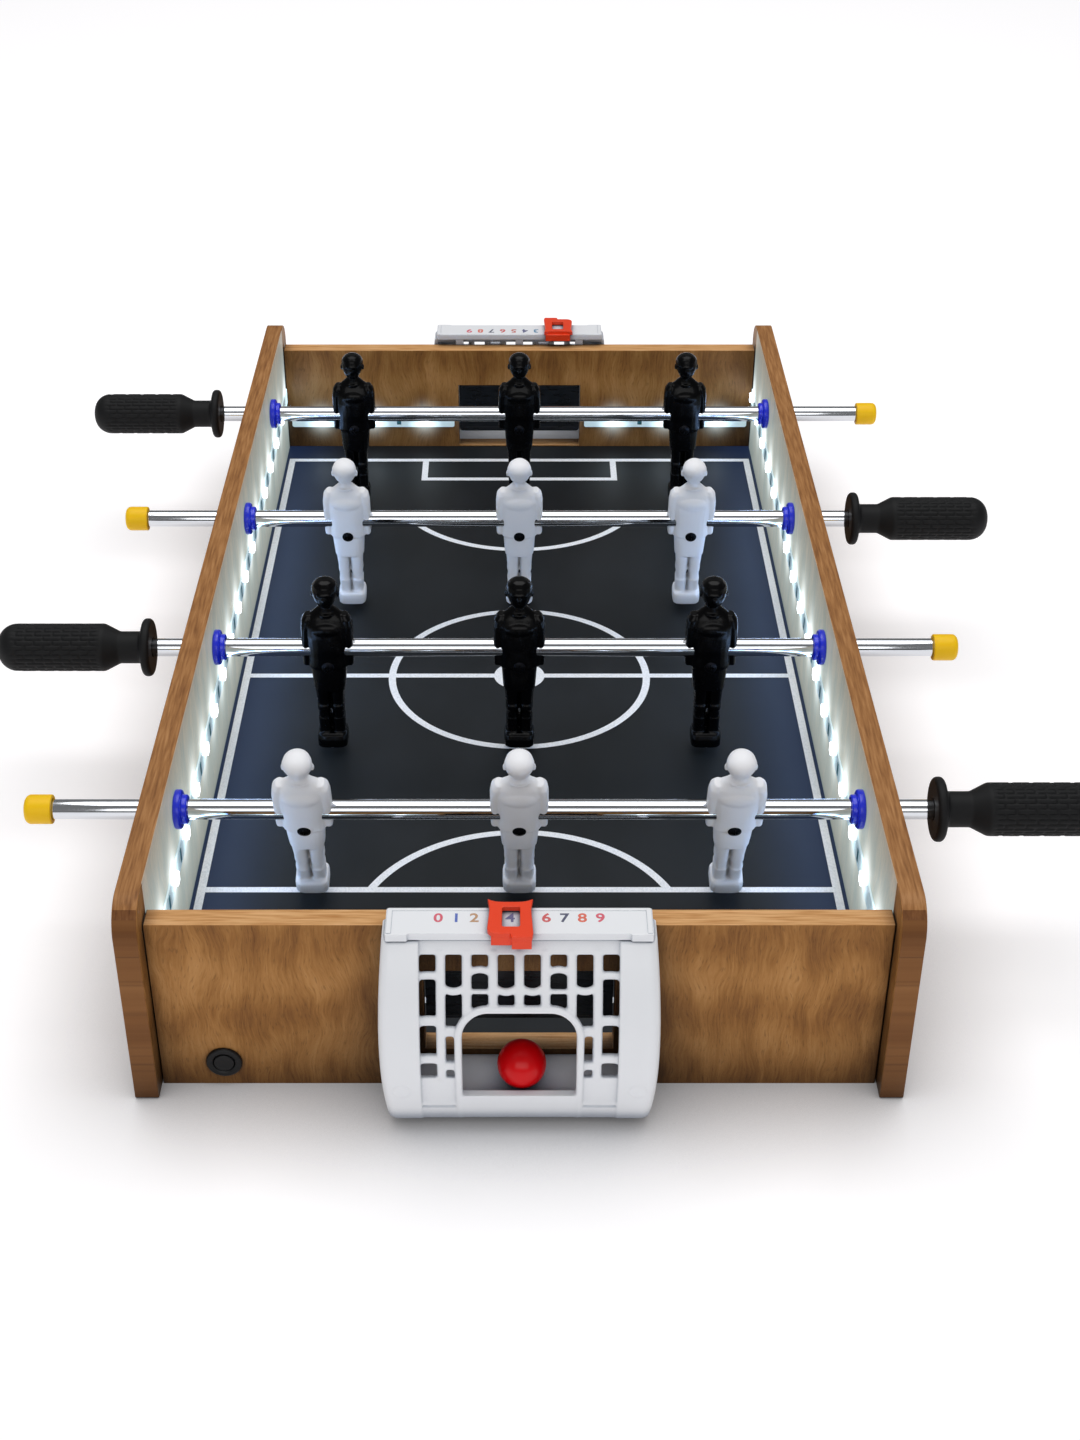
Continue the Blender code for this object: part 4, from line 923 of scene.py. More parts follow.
def rib_swell(x, angle):
    """Height of the ribs over the barrel, each run of them half a run off its neighbour."""
    if x < RIB_START or x > RIB_END:
        return 0.0
    turn = angle / (2 * math.pi) * RIB_COUNT
    number = math.floor(turn)
    crest = abs(math.sin(math.pi * turn)) ** 0.6
    share = ((x - RIB_START) / RIB_RUN + 0.5 * (number % 2)) % 1.0
    cut = min(1.0, min(share, 1.0 - share) / 0.12)
    fade = min(1.0, (x - RIB_START) / (1.5 * MM), (RIB_END - x) / (1.5 * MM))
    return RIB_HEIGHT * crest * cut * fade - RIB_HEIGHT * fade


grip_front = rounded(
    [
        (59 * MM, GRIP_BORE, 0.0),
        (0.0, GRIP_BORE, 0.4 * MM),
        (0.0, 14.25 * MM, 1.9 * MM),
        (4.2 * MM, 14.25 * MM, 1.9 * MM),
        (5.6 * MM, 7.9 * MM, 1.6 * MM),
        (16.0 * MM, 7.9 * MM, 3.5 * MM),
        (23.5 * MM, GRIP_RADIUS, 5.0 * MM),
        (30 * MM, GRIP_RADIUS, 0.0),
    ],
    7,
)[:-1]
grip_profile = [(59 * MM, 0.0)] + grip_front
barrel_steps = 108
for step in range(barrel_steps + 1):
    grip_profile.append((26.2 * MM + (66 * MM - 26.2 * MM) * step / barrel_steps, GRIP_RADIUS))
for step in range(1, 12):
    sweep_angle = math.radians(90.0 * step / 12)
    grip_profile.append(
        (66 * MM + 10 * MM * math.sin(sweep_angle), GRIP_RADIUS * math.cos(sweep_angle) ** 0.8)
    )
grip_profile.append((GRIP_LENGTH, 0.0))
grip = lathe("grip", grip_profile, RIB_COUNT * 6, swell=rib_swell, sharp=60.0)

# Matte black rubber: no mirror at all, a soft grey sheen on the edges that face the light.
rubber, rubber_shader = new_material("matte_black_rubber", "#0c0d0f", 0.5, Specular_IOR_Level=0.25)
rubber_noise = add(rubber, "TexNoise", {"Scale": 1600.0, "Detail": 3.0})
feed(rubber_shader, {
    "Normal": bumped(rubber, rubber_noise.outputs[0], 0.15, 0.0001),
    "Roughness": graded(rubber, rubber_noise.outputs[0], 0.52, 0.74),
})
for row_number, (row_place, grip_side) in enumerate(zip(ROW_PLACES, GRIP_SIDES), 1):
    show(
        f"grip_{row_number}", grip, [rubber], f"men_{row_number}", [f"handle_{row_number}"],
        (grip_side * GRIP_PLACE, row_place, ROD_HEIGHT), (0.0, 0.0, 0.0 if grip_side > 0 else math.pi),
    )


# ---- End caps -------------------------------------------------------------------------
# Soft yellow vinyl caps that keep fingers off the tube's cut end. They are dip moulded,
# so every edge is round, and they hold by their own stretch.

# Vinyl: strong warm yellow, waxy, with a slight depth that keeps its shadows orange.
vinyl, vinyl_shader = new_material(
    "yellow_vinyl", "#f9c60a", 0.42, Specular_IOR_Level=0.25, Subsurface_Weight=0.1,
    Subsurface_Radius=(0.004, 0.002, 0.0005),
)
vinyl_noise = add(vinyl, "TexNoise", {"Scale": 260.0, "Detail": 3.0})
vinyl_colour = add(
    vinyl, "ValToRGB", {"Fac": vinyl_noise.outputs[0]}, stops=[(0.3, "#f5bb02"), (0.7, "#ffd413")]
)
feed(vinyl_shader, {"Base Color": vinyl_colour.outputs[0]})
CAP_PLACE = 203 * MM
cap_corners = [
    (9.5 * MM, GRIP_BORE, 0.0),
    (0.0, GRIP_BORE, 0.3 * MM),
    (0.0, 6.5 * MM, 0.6 * MM),
    (12 * MM, 6.5 * MM, 2.6 * MM),
    (12 * MM, 0.0, 0.0),
]
cap = lathe("end_cap", [(9.5 * MM, 0.0)] + rounded(cap_corners, 6), 48)
for row_number, (row_place, grip_side) in enumerate(zip(ROW_PLACES, GRIP_SIDES), 1):
    show(
        f"cap_{row_number}", cap, [vinyl], f"men_{row_number}", [f"end_cap_{row_number}"],
        (-grip_side * CAP_PLACE, row_place, ROD_HEIGHT), (0.0, 0.0, math.pi if grip_side > 0 else 0.0),
    )


# ---- Players --------------------------------------------------------------------------
# Twelve figures moulded in one piece, in gloss black and satin white, three to a rod.
# Arms lie along the body, the legs end in one square foot, and a screw pins each to its rod.

PLAYER_PITCHES = (99.5 * MM, 94 * MM, 94 * MM, 94 * MM)
REMESH_SIZE = 0.42 * MM


def lofted(loops):
    """Closed body through loops of points, with its two ends filled."""
    bm = bmesh.new()
    rows = [[bm.verts.new(point) for point in loop] for loop in loops]
    bm.faces.new(rows[0])
    bm.faces.new(rows[-1])
    for first, second in zip(rows, rows[1:]):
        for index in range(len(first)):
            after = (index + 1) % len(first)
            bm.faces.new((first[index], first[after], second[after], second[index]))
    return finished(bm, "loft")


def limb(rings, corners=28):
    """Loft of rounded slabs: (height, x, y, half width, half depth, squareness) in mm."""
    loops = []
    for height, x, y, half_x, half_y, square in rings:
        loop = []
        for index in range(corners):
            angle = 2 * math.pi * index / corners
            c, s = math.cos(angle), math.sin(angle)
            reach = (abs(c) ** square + abs(s) ** square) ** (-1 / square)
            loop.append(Vector((x + half_x * c * reach, y + half_y * s * reach, height)) * MM)
        loops.append(loop)
    return lofted(loops)


def blob(x, y, z, half_x, half_y, half_z, lean=0.0):
    """Ellipsoid in mm, leaned about X by degrees."""
    bm = bmesh.new()
    bmesh.ops.create_uvsphere(bm, u_segments=24, v_segments=16, radius=1.0)
    shape = Matrix.Diagonal((half_x * MM, half_y * MM, half_z * MM, 1.0))
    place = Matrix.Translation(Vector((x, y, z)) * MM) @ Matrix.Rotation(math.radians(lean), 4, "X")
    bmesh.ops.transform(bm, matrix=place @ shape, verts=bm.verts)
    return finished(bm, "blob")


def fused(name, meshes, voxel, rounds, keep):
    """Overlapping bodies run together as one moulding, with soft inner corners."""
    body = bpy.data.objects.new("body", joined(name, meshes))
    bpy.context.collection.objects.link(body)
    remesh = body.modifiers.new("remesh", "REMESH")
    remesh.mode = "VOXEL"
    remesh.voxel_size = voxel
    relax = body.modifiers.new("relax", "SMOOTH")
    relax.factor = 0.5
    relax.iterations = rounds
    thin = body.modifiers.new("thin", "DECIMATE")
    thin.ratio = keep
    made = bpy.data.meshes.new_from_object(body.evaluated_get(bpy.context.evaluated_depsgraph_get()))
    made.name = name
    bpy.data.objects.remove(body)
    made.shade_smooth()
    return made


player_bodies = [
    limb([                                            # shirt, hem to shoulders
        (-9.4, 0, 0, 9.3, 5.9, 3.2),
        (-8.6, 0, 0, 9.8, 6.4, 3.2),
        (-3.0, 0, 0, 9.5, 6.5, 3.0),
        (1.0, 0, 0, 9.6, 6.9, 2.8),
        (8.0, 0, 0, 10.4, 6.9, 2.7),
        (14.0, 0, 0, 11.2, 6.2, 2.6),
        (18.0, 0, 0.2, 10.2, 4.9, 2.4),
        (20.6, 0, 0.2, 7.0, 3.7, 2.2),
        (23.4, 0, 0.2, 3.9, 3.3, 2.0),
        (24.6, 0, 0.2, 3.0, 3.0, 2.0),
    ]),
    limb([(19, 0, 0.2, 3.3, 3.3, 2), (23, 0, 0.2, 3.1, 3.1, 2), (28, 0, 0.2, 3.3, 3.3, 2)]),
    limb([                                            # head, chin to crown
        (24.6, 0, -1.2, 2.6, 3.0, 2.0),
        (25.6, 0, -1.0, 3.9, 4.3, 2.0),
        (27.6, 0, -0.6, 5.1, 5.5, 2.1),
        (30.0, 0, -0.2, 5.9, 6.2, 2.1),
        (33.0, 0, 0.1, 6.3, 6.5, 2.1),
        (35.6, 0, 0.2, 5.7, 5.9, 2.0),
        (37.4, 0, 0.2, 4.0, 4.2, 2.0),
        (38.2, 0, 0.2, 2.0, 2.1, 2.0),
    ]),
    blob(0, 0.9, 33.2, 6.5, 6.35, 5.1, 14),            # hair
    blob(0, -6.3, 30.0, 0.8, 1.1, 1.5),               # nose
    blob(0, -5.7, 32.4, 3.6, 1.1, 0.7),               # brow
    blob(0, -5.4, 27.4, 1.6, 0.8, 0.5),               # mouth
    blob(0, 3.3, 12.6, 9.0, 4.1, 5.2),                # shoulder blades
    blob(0, -3.2, 12.2, 8.6, 4.1, 4.8),               # chest
    limb([                                            # shorts
        (-22.6, 0, 0, 7.2, 5.3, 3.0),
        (-21.8, 0, 0, 7.9, 6.0, 3.0),
        (-15.0, 0, 0, 8.4, 6.2, 3.0),
        (-8.0, 0, 0, 8.9, 6.0, 3.0),
    ]),
    limb([                                            # square foot under both legs
        (-55.0, 0, -0.2, 6.9, 6.8, 5.0),
        (-54.3, 0, -0.2, 7.5, 7.4, 5.0),
        (-50.4, 0, -0.1, 7.6, 7.4, 5.0),
        (-48.2, 0, 0.2, 7.3, 6.9, 4.5),
        (-47.2, 0, 0.4, 6.4, 5.8, 4.0),
    ]),
]
collar = lathe(
    "collar",
    rounded(
        [
            (-0.6 * MM, 3.9 * MM, 0), (0.6 * MM, 3.9 * MM, 0), (0.3 * MM, 5.0 * MM, 0),
            (-0.6 * MM, 5.0 * MM, 0)
        ],
        1
    ),
    28, closed=True
)
collar.transform(
    Matrix.Translation((0.0, 0.0, 21.2 * MM)) @ Matrix.Rotation(math.radians(14), 4, "X") @ Matrix.Rotation(
        math.radians(-90), 4, "Y"
    )
)
player_bodies.append(collar)
for side_sign in (-1, 1):
    player_bodies.append(limb([                       # arm, hand to shoulder
        (-8.7, 10.5 * side_sign, 0, 1.5, 3.0, 3.4),
        (-7.8, 10.6 * side_sign, 0, 1.9, 3.6, 3.4),
        (-2.0, 10.6 * side_sign, 0, 2.0, 3.9, 3.2),
        (6.0, 10.5 * side_sign, 0, 2.2, 4.5, 3.0),
        (13.0, 10.2 * side_sign, 0, 2.5, 4.6, 2.8),
        (17.0, 9.6 * side_sign, 0, 2.6, 4.1, 2.5),
        (19.6, 8.6 * side_sign, 0, 1.9, 2.8, 2.2),
    ]))
    player_bodies.append(blob(6.3 * side_sign, 0.2, 30.4, 0.8, 1.3, 1.9))
    player_bodies.append(limb([                       # leg, ankle to hip
        (-50.0, 3.4 * side_sign, 0, 3.1, 4.9, 3.2),
        (-45.0, 3.4 * side_sign, 0, 3.1, 4.6, 3.0),
        (-39.0, 3.45 * side_sign, 0.3, 3.25, 5.1, 3.0),
        (-38.6, 3.45 * side_sign, 0.2, 2.9, 4.7, 3.0),
        (-34.6, 3.45 * side_sign, 0, 2.95, 4.7, 3.0),
        (-33.8, 3.45 * side_sign, -0.3, 3.35, 5.2, 2.8),
        (-31.4, 3.45 * side_sign, -0.3, 3.35, 5.2, 2.8),
        (-30.6, 3.5 * side_sign, 0, 3.15, 4.9, 3.0),
        (-20.0, 3.8 * side_sign, 0, 3.7, 5.4, 3.0),
    ]))
player_solid = fused("player", player_bodies, REMESH_SIZE, 2, 0.4)
rod_room = [(-0.02, 0.0), (-0.02, 4.6 * MM), (0.02, 4.6 * MM), (0.02, 0.0)]
player = carve(player_solid, lathe("bore", rod_room, 48), sharp=60.0)
player_turned = moved(player, turn=math.pi)


def moulded_plastic(name, colour, roughness, coat, depth):
    """Injection moulded plastic: faint flow marks, the ridge where the mould halves met, and shade painted
    darker into its creases by ambient occlusion.

    The mould's ridge runs up both sides of the figure, in the plane of its local Y.
    """
    material, shader = new_material(name, colour, roughness, Coat_Weight=coat, Coat_Roughness=0.12)
    feed(shader, {"Specular IOR Level": 0.12})
    feed(shader, {"Subsurface Weight": depth, "Subsurface Radius": (0.002, 0.002, 0.002)})
    # Painted shade: ambient occlusion darkens the colour in creases and recesses, to half at the deepest.
    crease_shade = add(material, "AmbientOcclusion", {"Distance": 16 * MM, "Color": linear(colour)}, samples=8)
    shade = add(
        material, "MapRange",
        {"Value": crease_shade.outputs["AO"], "From Min": 0.15, "From Max": 0.9, "To Min": 0.5}
    )
    feed(shader, {
        "Base Color": add(
            material, "VectorMath", {0: linear(colour)[:3], 1: shade.outputs[0]}, operation="MULTIPLY"
        ).outputs[0],
    })
    where = add(material, "TexCoord", {}).outputs["Object"]
    flow = add(material, "TexNoise", {"Vector": where, "Scale": 190.0, "Detail": 3.0})
    aside = add(
        material, "Math", {0: add(material, "SeparateXYZ", {0: where}).outputs["Y"]}, operation="ABSOLUTE"
    )
    seam = add(
        material, "MapRange",
        {"Value": aside.outputs[0], "From Min": 0.0, "From Max": 0.00016, "To Min": 0.7, "To Max": 0.0},
    )
    height = add(material, "Math", {0: flow.outputs[0], 1: seam.outputs[0]}, operation="ADD")
    relief = bumped(material, height.outputs[0], 0.16, 0.0002)
    gloss = graded(material, flow.outputs[0], roughness - 0.05, roughness + 0.08)
    feed(shader, {"Normal": relief, "Roughness": gloss})
    return material


player_black = moulded_plastic("gloss_black_plastic", "#020203", 0.24, 0.05, 0.0)
player_white = moulded_plastic("satin_white_plastic", "#f3f4f8", 0.42, 0.05, 0.06)
for row_number, (row_place, tilt, pitch) in enumerate(zip(ROW_PLACES, TILTS, PLAYER_PITCHES), 1):
    dark = row_number % 2 == 1
    for letter, place in zip("abc", (-1, 0, 1)):
        show(
            f"footballer_{row_number}_{letter}", player if dark else player_turned,
            [player_black if dark else player_white], f"men_{row_number}",
            [f"player_{row_number}_{letter}"],
            (place * pitch, row_place, ROD_HEIGHT), (math.radians(tilt), 0.0, 0.0),
        )


# ---- Player screws --------------------------------------------------------------------
# A black oxide cross-head screw goes through every player just under its rod. The heads
# all face the near end, so they show on the black team's bellies and the white team's backs.

PIN_RADIUS = 3.0 * MM
PIN_BELOW_ROD = 7.8 * MM

# Black oxide: dark blued steel, half matt.
black_oxide, oxide_shader = new_material("black_oxide_steel", "#17181c", 0.34, Metallic=0.9)
oxide_noise = add(black_oxide, "TexNoise", {"Scale": 1500.0, "Detail": 3.0})
feed(oxide_shader, {"Roughness": graded(black_oxide, oxide_noise.outputs[0], 0.25, 0.5)})
pin_corners = [
    (-1.2 * MM, 0.0, 0.0),
    (-1.2 * MM, PIN_RADIUS, 0.0),
    (0.35 * MM, PIN_RADIUS, 0.35 * MM),
    (0.9 * MM, PIN_RADIUS * 0.45, 0.8 * MM),
    (0.95 * MM, 0.0, 0.0),
]
pin_head = carve(
    lathe("pin_head", rounded(pin_corners, 4), 36),
    moved(cross_recess(0.8 * MM, PIN_RADIUS * 0.6), (0.9 * MM, 0.0, 0.0))
)
for row_number, (row_place, tilt, pitch) in enumerate(zip(ROW_PLACES, TILTS, PLAYER_PITCHES), 1):
    pins = []
    for place in (-1, 0, 1):
        pins.append(moved(moved(pin_head, turn=-quarter), (place * pitch, -6.35 * MM, -PIN_BELOW_ROD)))
    show(
        f"player_screws_{row_number}", joined("player_screws", pins), [black_oxide], f"men_{row_number}",
        place=(0.0, row_place, ROD_HEIGHT), turn=(math.radians(tilt), 0.0, 0.0),
    )


# ---- Goal catches ---------------------------------------------------------------------
# White moulded boxes on the outside of both goals catch the ball. The bowed front is a net
# of bars with a ball door in it, between two plain bands; they clip to the end boards.

CATCH_HEIGHTS = (4 * MM, 50 * MM, 89 * MM)            # foot, belly, top
CATCH_DEPTHS = (25 * MM, 31 * MM, 15 * MM)
CATCH_HALVES = (53.5 * MM, 55.8 * MM, 54 * MM)
CATCH_WALL = 2.2 * MM
CATCH_CORNER = 4 * MM
CATCH_GAP = 0.3 * MM
NET_HALF = 39.25 * MM
NET_SUNK = 1.5 * MM
NET_TOP = 85.0 * MM
BAR_WIDTH = 3.9 * MM
BAR_THICK = 2.8 * MM
COLUMN_PITCH = 10.3 * MM
DOOR_MIDDLE = 24.2 * MM                               # middle of the door frame's bar
DOOR_ARCH_TOP = 64.4 * MM
DOOR_ARCH_RADIUS = 11.8 * MM
DOOR_BAR = 3.1 * MM
CATCH_FLOOR_TOP = 17 * MM
ROOF_HALF = 53 * MM


def bow(height, values):
    """Value at a height of the catch, on the parabola through its foot, belly and top."""
    a, b, c = CATCH_HEIGHTS
    low = values[0] * (height - b) * (height - c) / ((a - b) * (a - c))
    middle = values[1] * (height - a) * (height - c) / ((b - a) * (b - c))
    high = values[2] * (height - a) * (height - b) / ((c - a) * (c - b))
    return low + middle + high


def front_out(height):
    """Outward direction of the bowed front at a height."""
    slope = (bow(height + MM, CATCH_DEPTHS) - bow(height - MM, CATCH_DEPTHS)) / (2 * MM)
    return Vector((0.0, -1.0, -slope)).normalized()


def on_front(x, height, out):
    """Point on the bowed front, raised outwards from it."""
    return Vector((x, -END_FACE - bow(height, CATCH_DEPTHS), height)) + front_out(height) * out


def swept(path, outs, width, thick, square=3.5, corners=14):
    """Bar along a path, its broad side facing the given directions."""
    loops = []
    for index, point in enumerate(path):
        before = path[max(index - 1, 0)]
        after = path[min(index + 1, len(path) - 1)]
        along = (after - before).normalized()
        side = along.cross(outs[index]).normalized()
        up = side.cross(along).normalized()
        loop = []
        for corner in range(corners):
            angle = 2 * math.pi * corner / corners
            c, s = math.cos(angle), math.sin(angle)
            reach = (abs(c) ** square + abs(s) ** square) ** (-1 / square)
            loop.append(point + side * (width / 2 * c * reach) + up * (thick / 2 * s * reach))
        loops.append(loop)
    return lofted(loops)


def front_bar(spots, sunk, width, thick):
    """Bar of the net through (x, height) spots, its outer face sunk below the bands."""
    path = [on_front(x, height, -sunk - thick / 2) for x, height in spots]
    outs = [front_out(height) for x, height in spots]
    return swept(path, outs, width, thick)


def between(low, high, steps):
    return [low + (high - low) * step / steps for step in range(steps + 1)]


def panel(half_low, half_high, low, high, sunk, thick, steps=18):
    """Plate between two x and two heights that follows the bowed front."""
    loops = []
    for height in between(low, high, steps):
        loops.append([
            on_front(half_low, height, -sunk),
            on_front(half_high, height, -sunk),
            on_front(half_high, height, -sunk - thick),
            on_front(half_low, height, -sunk - thick),
        ])
    return lofted(loops)


catch_bodies = []
foot = CATCH_HEIGHTS[0]
top = CATCH_HEIGHTS[-1]
for side_sign in (-1, 1):
    loops = []
    for height in [foot, foot + 0.6 * MM] + between(foot + 2 * MM, top - 2 * MM, 34) + [top - 0.6 * MM, top]:
        trim = 0.5 * MM if height in (foot, top) else 0.0
        half = bow(height, CATCH_HALVES) - trim
        depth = bow(height, CATCH_DEPTHS) - trim
        plan = rounded(
            [
                (half, CATCH_GAP, 0.4 * MM),
                (half, depth, CATCH_CORNER),
                (NET_HALF, depth, 0.6 * MM),
                (NET_HALF, depth - CATCH_WALL - NET_SUNK, 0.4 * MM),
                (half - CATCH_WALL, depth - CATCH_WALL - NET_SUNK / 2, 2 * MM),
                (half - CATCH_WALL, CATCH_GAP, 0.4 * MM),
            ],
            5,
        )
        loops.append([Vector((side_sign * x, -END_FACE - y, height)) for x, y in plan])
    catch_bodies.append(lofted(loops))
catch_bodies.append(
    panel(-NET_HALF - MM, NET_HALF + MM, NET_TOP - 0.3 * MM, top - 0.4 * MM, NET_SUNK, CATCH_WALL)
)
roof_depth = bow(top, CATCH_DEPTHS) - 1.2 * MM
roof = rectangle(-ROOF_HALF, -END_FACE - CATCH_GAP, ROOF_HALF, -END_FACE - roof_depth)
catch_bodies.append(prism("roof", roof, top - CATCH_WALL, top, "Z"))
floor_depth = bow(CATCH_FLOOR_TOP, CATCH_DEPTHS) - 1.2 * MM
floor = rectangle(-ROOF_HALF, -END_FACE - CATCH_GAP, ROOF_HALF, -END_FACE - floor_depth)
catch_bodies.append(prism("floor", floor, CATCH_FLOOR_TOP - CATCH_WALL, CATCH_FLOOR_TOP, "Z"))

# Upright bars: the middle five end on the door's arch, the outer two on the lower panels.
for column in range(-3, 4):
    start = {0: 63.5, 1: 63.5, 2: 60.5, 3: 30.0}[abs(column)] * MM
    spots = [(column * COLUMN_PITCH, height) for height in between(start, NET_TOP + MM, 16)]
    catch_bodies.append(front_bar(spots, NET_SUNK - 0.3 * MM, BAR_WIDTH, BAR_THICK))

# Cross bars of each column from the middle outwards: height, thickness and sag in mm.
CROSS_BARS = (
    ((73.2, 3.0, -2.2),),
    ((77.6, 2.8, 1.8), (71.2, 1.8, 0.0)),
    ((73.2, 3.0, -2.0), (54.2, 4.4, 0.5), (37.5, 4.4, 0.5)),
    ((76.8, 3.2, 0.5), (58.9, 4.1, 0.5), (41.0, 4.3, 0.5)),
)
for column, cross_bars in enumerate(CROSS_BARS):
    for height, thickness, sag in cross_bars:
        for side_sign in (-1, 1):
            inner = column * COLUMN_PITCH if column != 2 or height > 60 else DOOR_MIDDLE
            outer = min((column + 1) * COLUMN_PITCH, NET_HALF + MM)
            spots = []
            for share in between(0.0, 1.0, 12):
                bend = sag * (1 - (2 * share - 1) ** 2)
                spots.append((side_sign * (inner + (outer - inner) * share), (height + bend) * MM))
            catch_bodies.append(front_bar(spots, NET_SUNK - 0.1 * MM, thickness * MM, BAR_THICK))

# Door frame, swept up one side, over the arch and down the other.
arch_centre_x = DOOR_MIDDLE - DOOR_ARCH_RADIUS
arch_centre_z = DOOR_ARCH_TOP - DOOR_ARCH_RADIUS
half_frame = [(DOOR_MIDDLE, height) for height in between(5 * MM, arch_centre_z, 22)]
for angle in between(8, 90, 14):
    turn = math.radians(angle)
    half_frame.append(
        (arch_centre_x + DOOR_ARCH_RADIUS * math.cos(turn), arch_centre_z + DOOR_ARCH_RADIUS * math.sin(turn))
    )
other_half = [(-x, height) for x, height in reversed(half_frame)]
catch_bodies.append(front_bar(half_frame + other_half, 0.2 * MM, DOOR_BAR, 3.6 * MM))

# Lip under the door, panels beside it, and the low skirt that runs across the foot.
LIP_TOP = 21.5 * MM
catch_bodies.append(panel(-DOOR_MIDDLE, DOOR_MIDDLE, foot + 0.4 * MM, LIP_TOP, 0.4 * MM, CATCH_WALL + MM))
for side_sign in (-1, 1):
    sides = sorted((side_sign * (DOOR_MIDDLE - MM), side_sign * (NET_HALF + MM)))
    catch_bodies.append(panel(*sides, foot + 0.4 * MM, 31.7 * MM, NET_SUNK, CATCH_WALL))
    catch_bodies.append(panel(*sides, foot, 12.5 * MM, 0.5 * MM, CATCH_WALL + MM))

# Moulded plugs that close the clip holes of the bands.
for side_sign in (-1, 1):
    plug_height = 25 * MM
    plug_out = front_out(plug_height)
    plug = lathe(
        "plug",
        rounded(
            [
                (-1.5 * MM, 0, 0), (-1.5 * MM, 3.5 * MM, 0), (0.45 * MM, 3.5 * MM, 0.3 * MM),
                (0.3 * MM, 2.7 * MM, 0.1 * MM), (0.3 * MM, 0, 0)
            ],
            2
        ),
        32
    )
    plug.transform(
        Matrix.Translation(on_front(side_sign * 47.3 * MM, plug_height, 0.0))
        @ plug_out.to_track_quat("X", "Z").to_matrix().to_4x4()
    )
    catch_bodies.append(plug)
catch_mesh = fused("goal_catch", catch_bodies, 0.5 * MM, 2, 0.5)

# White polypropylene: cool white, satin, slightly waxy, with the sink marks of its bars and shade painted
# into its crevices.
polypropylene, poly_shader = new_material(
    "white_polypropylene", "#eceef2", 0.4,
    Subsurface_Weight=0.05, Subsurface_Radius=(0.002, 0.002, 0.002), Coat_Weight=0.1,
)
poly_noise = add(polypropylene, "TexNoise", {"Scale": 130.0, "Detail": 4.0})
# Painted shade: the colour darkens to blue-grey where ambient occlusion finds crevices between the bars and
# inside the catch.
crevice_shade = add(polypropylene, "AmbientOcclusion", {"Distance": 14 * MM}, samples=8)
poly_shade = add(
    polypropylene, "ValToRGB", {"Fac": crevice_shade.outputs["AO"]},
    stops=[(0.15, "#3c424d"), (0.6, "#a9b0bc"), (0.92, "#edeff3")],
)
feed(poly_shader, {
    "Base Color": poly_shade.outputs[0],
    "Normal": bumped(polypropylene, poly_noise.outputs[0], 0.08, 0.0004),
    "Roughness": graded(polypropylene, poly_noise.outputs[0], 0.34, 0.5),
})
for end_name, turn in (("near", 0.0), ("far", math.pi)):
    show(
        f"goal_net_{end_name}", catch_mesh, [polypropylene], "root",
        [f"goal_catch_{end_name}"],
        turn=(0.0, 0.0, turn),
    )


# ---- Goal flaps -----------------------------------------------------------------------
# Smoked plastic plates hang in the two goal mouths by a thicker rib along their upper edge.
# A ball pushes them open towards the catch; a rib stiffens the lower edge.

FLAP_HALF = 38.6 * MM
FLAP_THICK = 1.5 * MM
FLAP_DROP = 30.8 * MM                # axis to the lower edge
FLAP_AXIS = (283.5 * MM, 60.3 * MM)  # from the middle, and height
flap_outline = rounded(
    [
        (-FLAP_HALF, -FLAP_DROP, 2 * MM),
        (FLAP_HALF, -FLAP_DROP, 2 * MM),
        (FLAP_HALF, 0.7 * MM, 0.5 * MM),
        (-FLAP_HALF, 0.7 * MM, 0.5 * MM),
    ],
)
flap_plate = prism("flap", flap_outline, -FLAP_THICK / 2, FLAP_THICK / 2, "Y")
hinge_rib = prism("hinge_rib", box_outline(37 * MM, 1.1 * MM, MM), -1.0 * MM, 1.0 * MM, "Y")
hinge_rib.transform(Matrix.Translation((0.0, 0.0, -0.6 * MM)))
flap_lip = prism("flap_lip", box_outline(36 * MM, 0.6 * MM, 0.5 * MM), -1.1 * MM, 1.1 * MM, "Y")
flap_lip.transform(Matrix.Translation((0.0, 0.0, -FLAP_DROP + 2.2 * MM)))

# Smoked styrene: dark olive grey, glossy, with a streaky haze from moulding.
smoked, smoked_shader = new_material("smoked_styrene", "#15181b", 0.25, Specular_IOR_Level=0.3)
smoke_place = add(
    smoked, "VectorMath", {0: add(smoked, "TexCoord", {}).outputs["Object"], 1: (90.0, 90.0, 400.0)},
    operation="MULTIPLY",
)
haze = add(smoked, "TexNoise", {"Vector": smoke_place.outputs[0], "Scale": 1.0, "Detail": 4.0})
haze_colour = add(smoked, "ValToRGB", {"Fac": haze.outputs[0]}, stops=[(0.3, "#0d0f11"), (0.7, "#1b1f24")])
feed(smoked_shader, {
    "Base Color": haze_colour.outputs[0],
    "Roughness": graded(smoked, haze.outputs[0], 0.18, 0.4),
})
flap = joined("goal_flap", [flap_plate, hinge_rib, flap_lip])
for end_name, end_sign in (("near", -1), ("far", 1)):
    piece = show(
        f"flap_{end_name}", flap, [smoked], f"flap_{end_name}", [f"goal_flap_{end_name}"],
        (0.0, end_sign * FLAP_AXIS[0], FLAP_AXIS[1]), (0.0, 0.0, 0.0 if end_sign < 0 else math.pi),
    )
    ease(piece, 0.2 * MM)


# ---- Score rails ----------------------------------------------------------------------
# A white moulded rail lies over each end board's edge on small feet. Ten digits, 0 to 9,
# are pad printed along it in mixed colours, read from that end of the table.

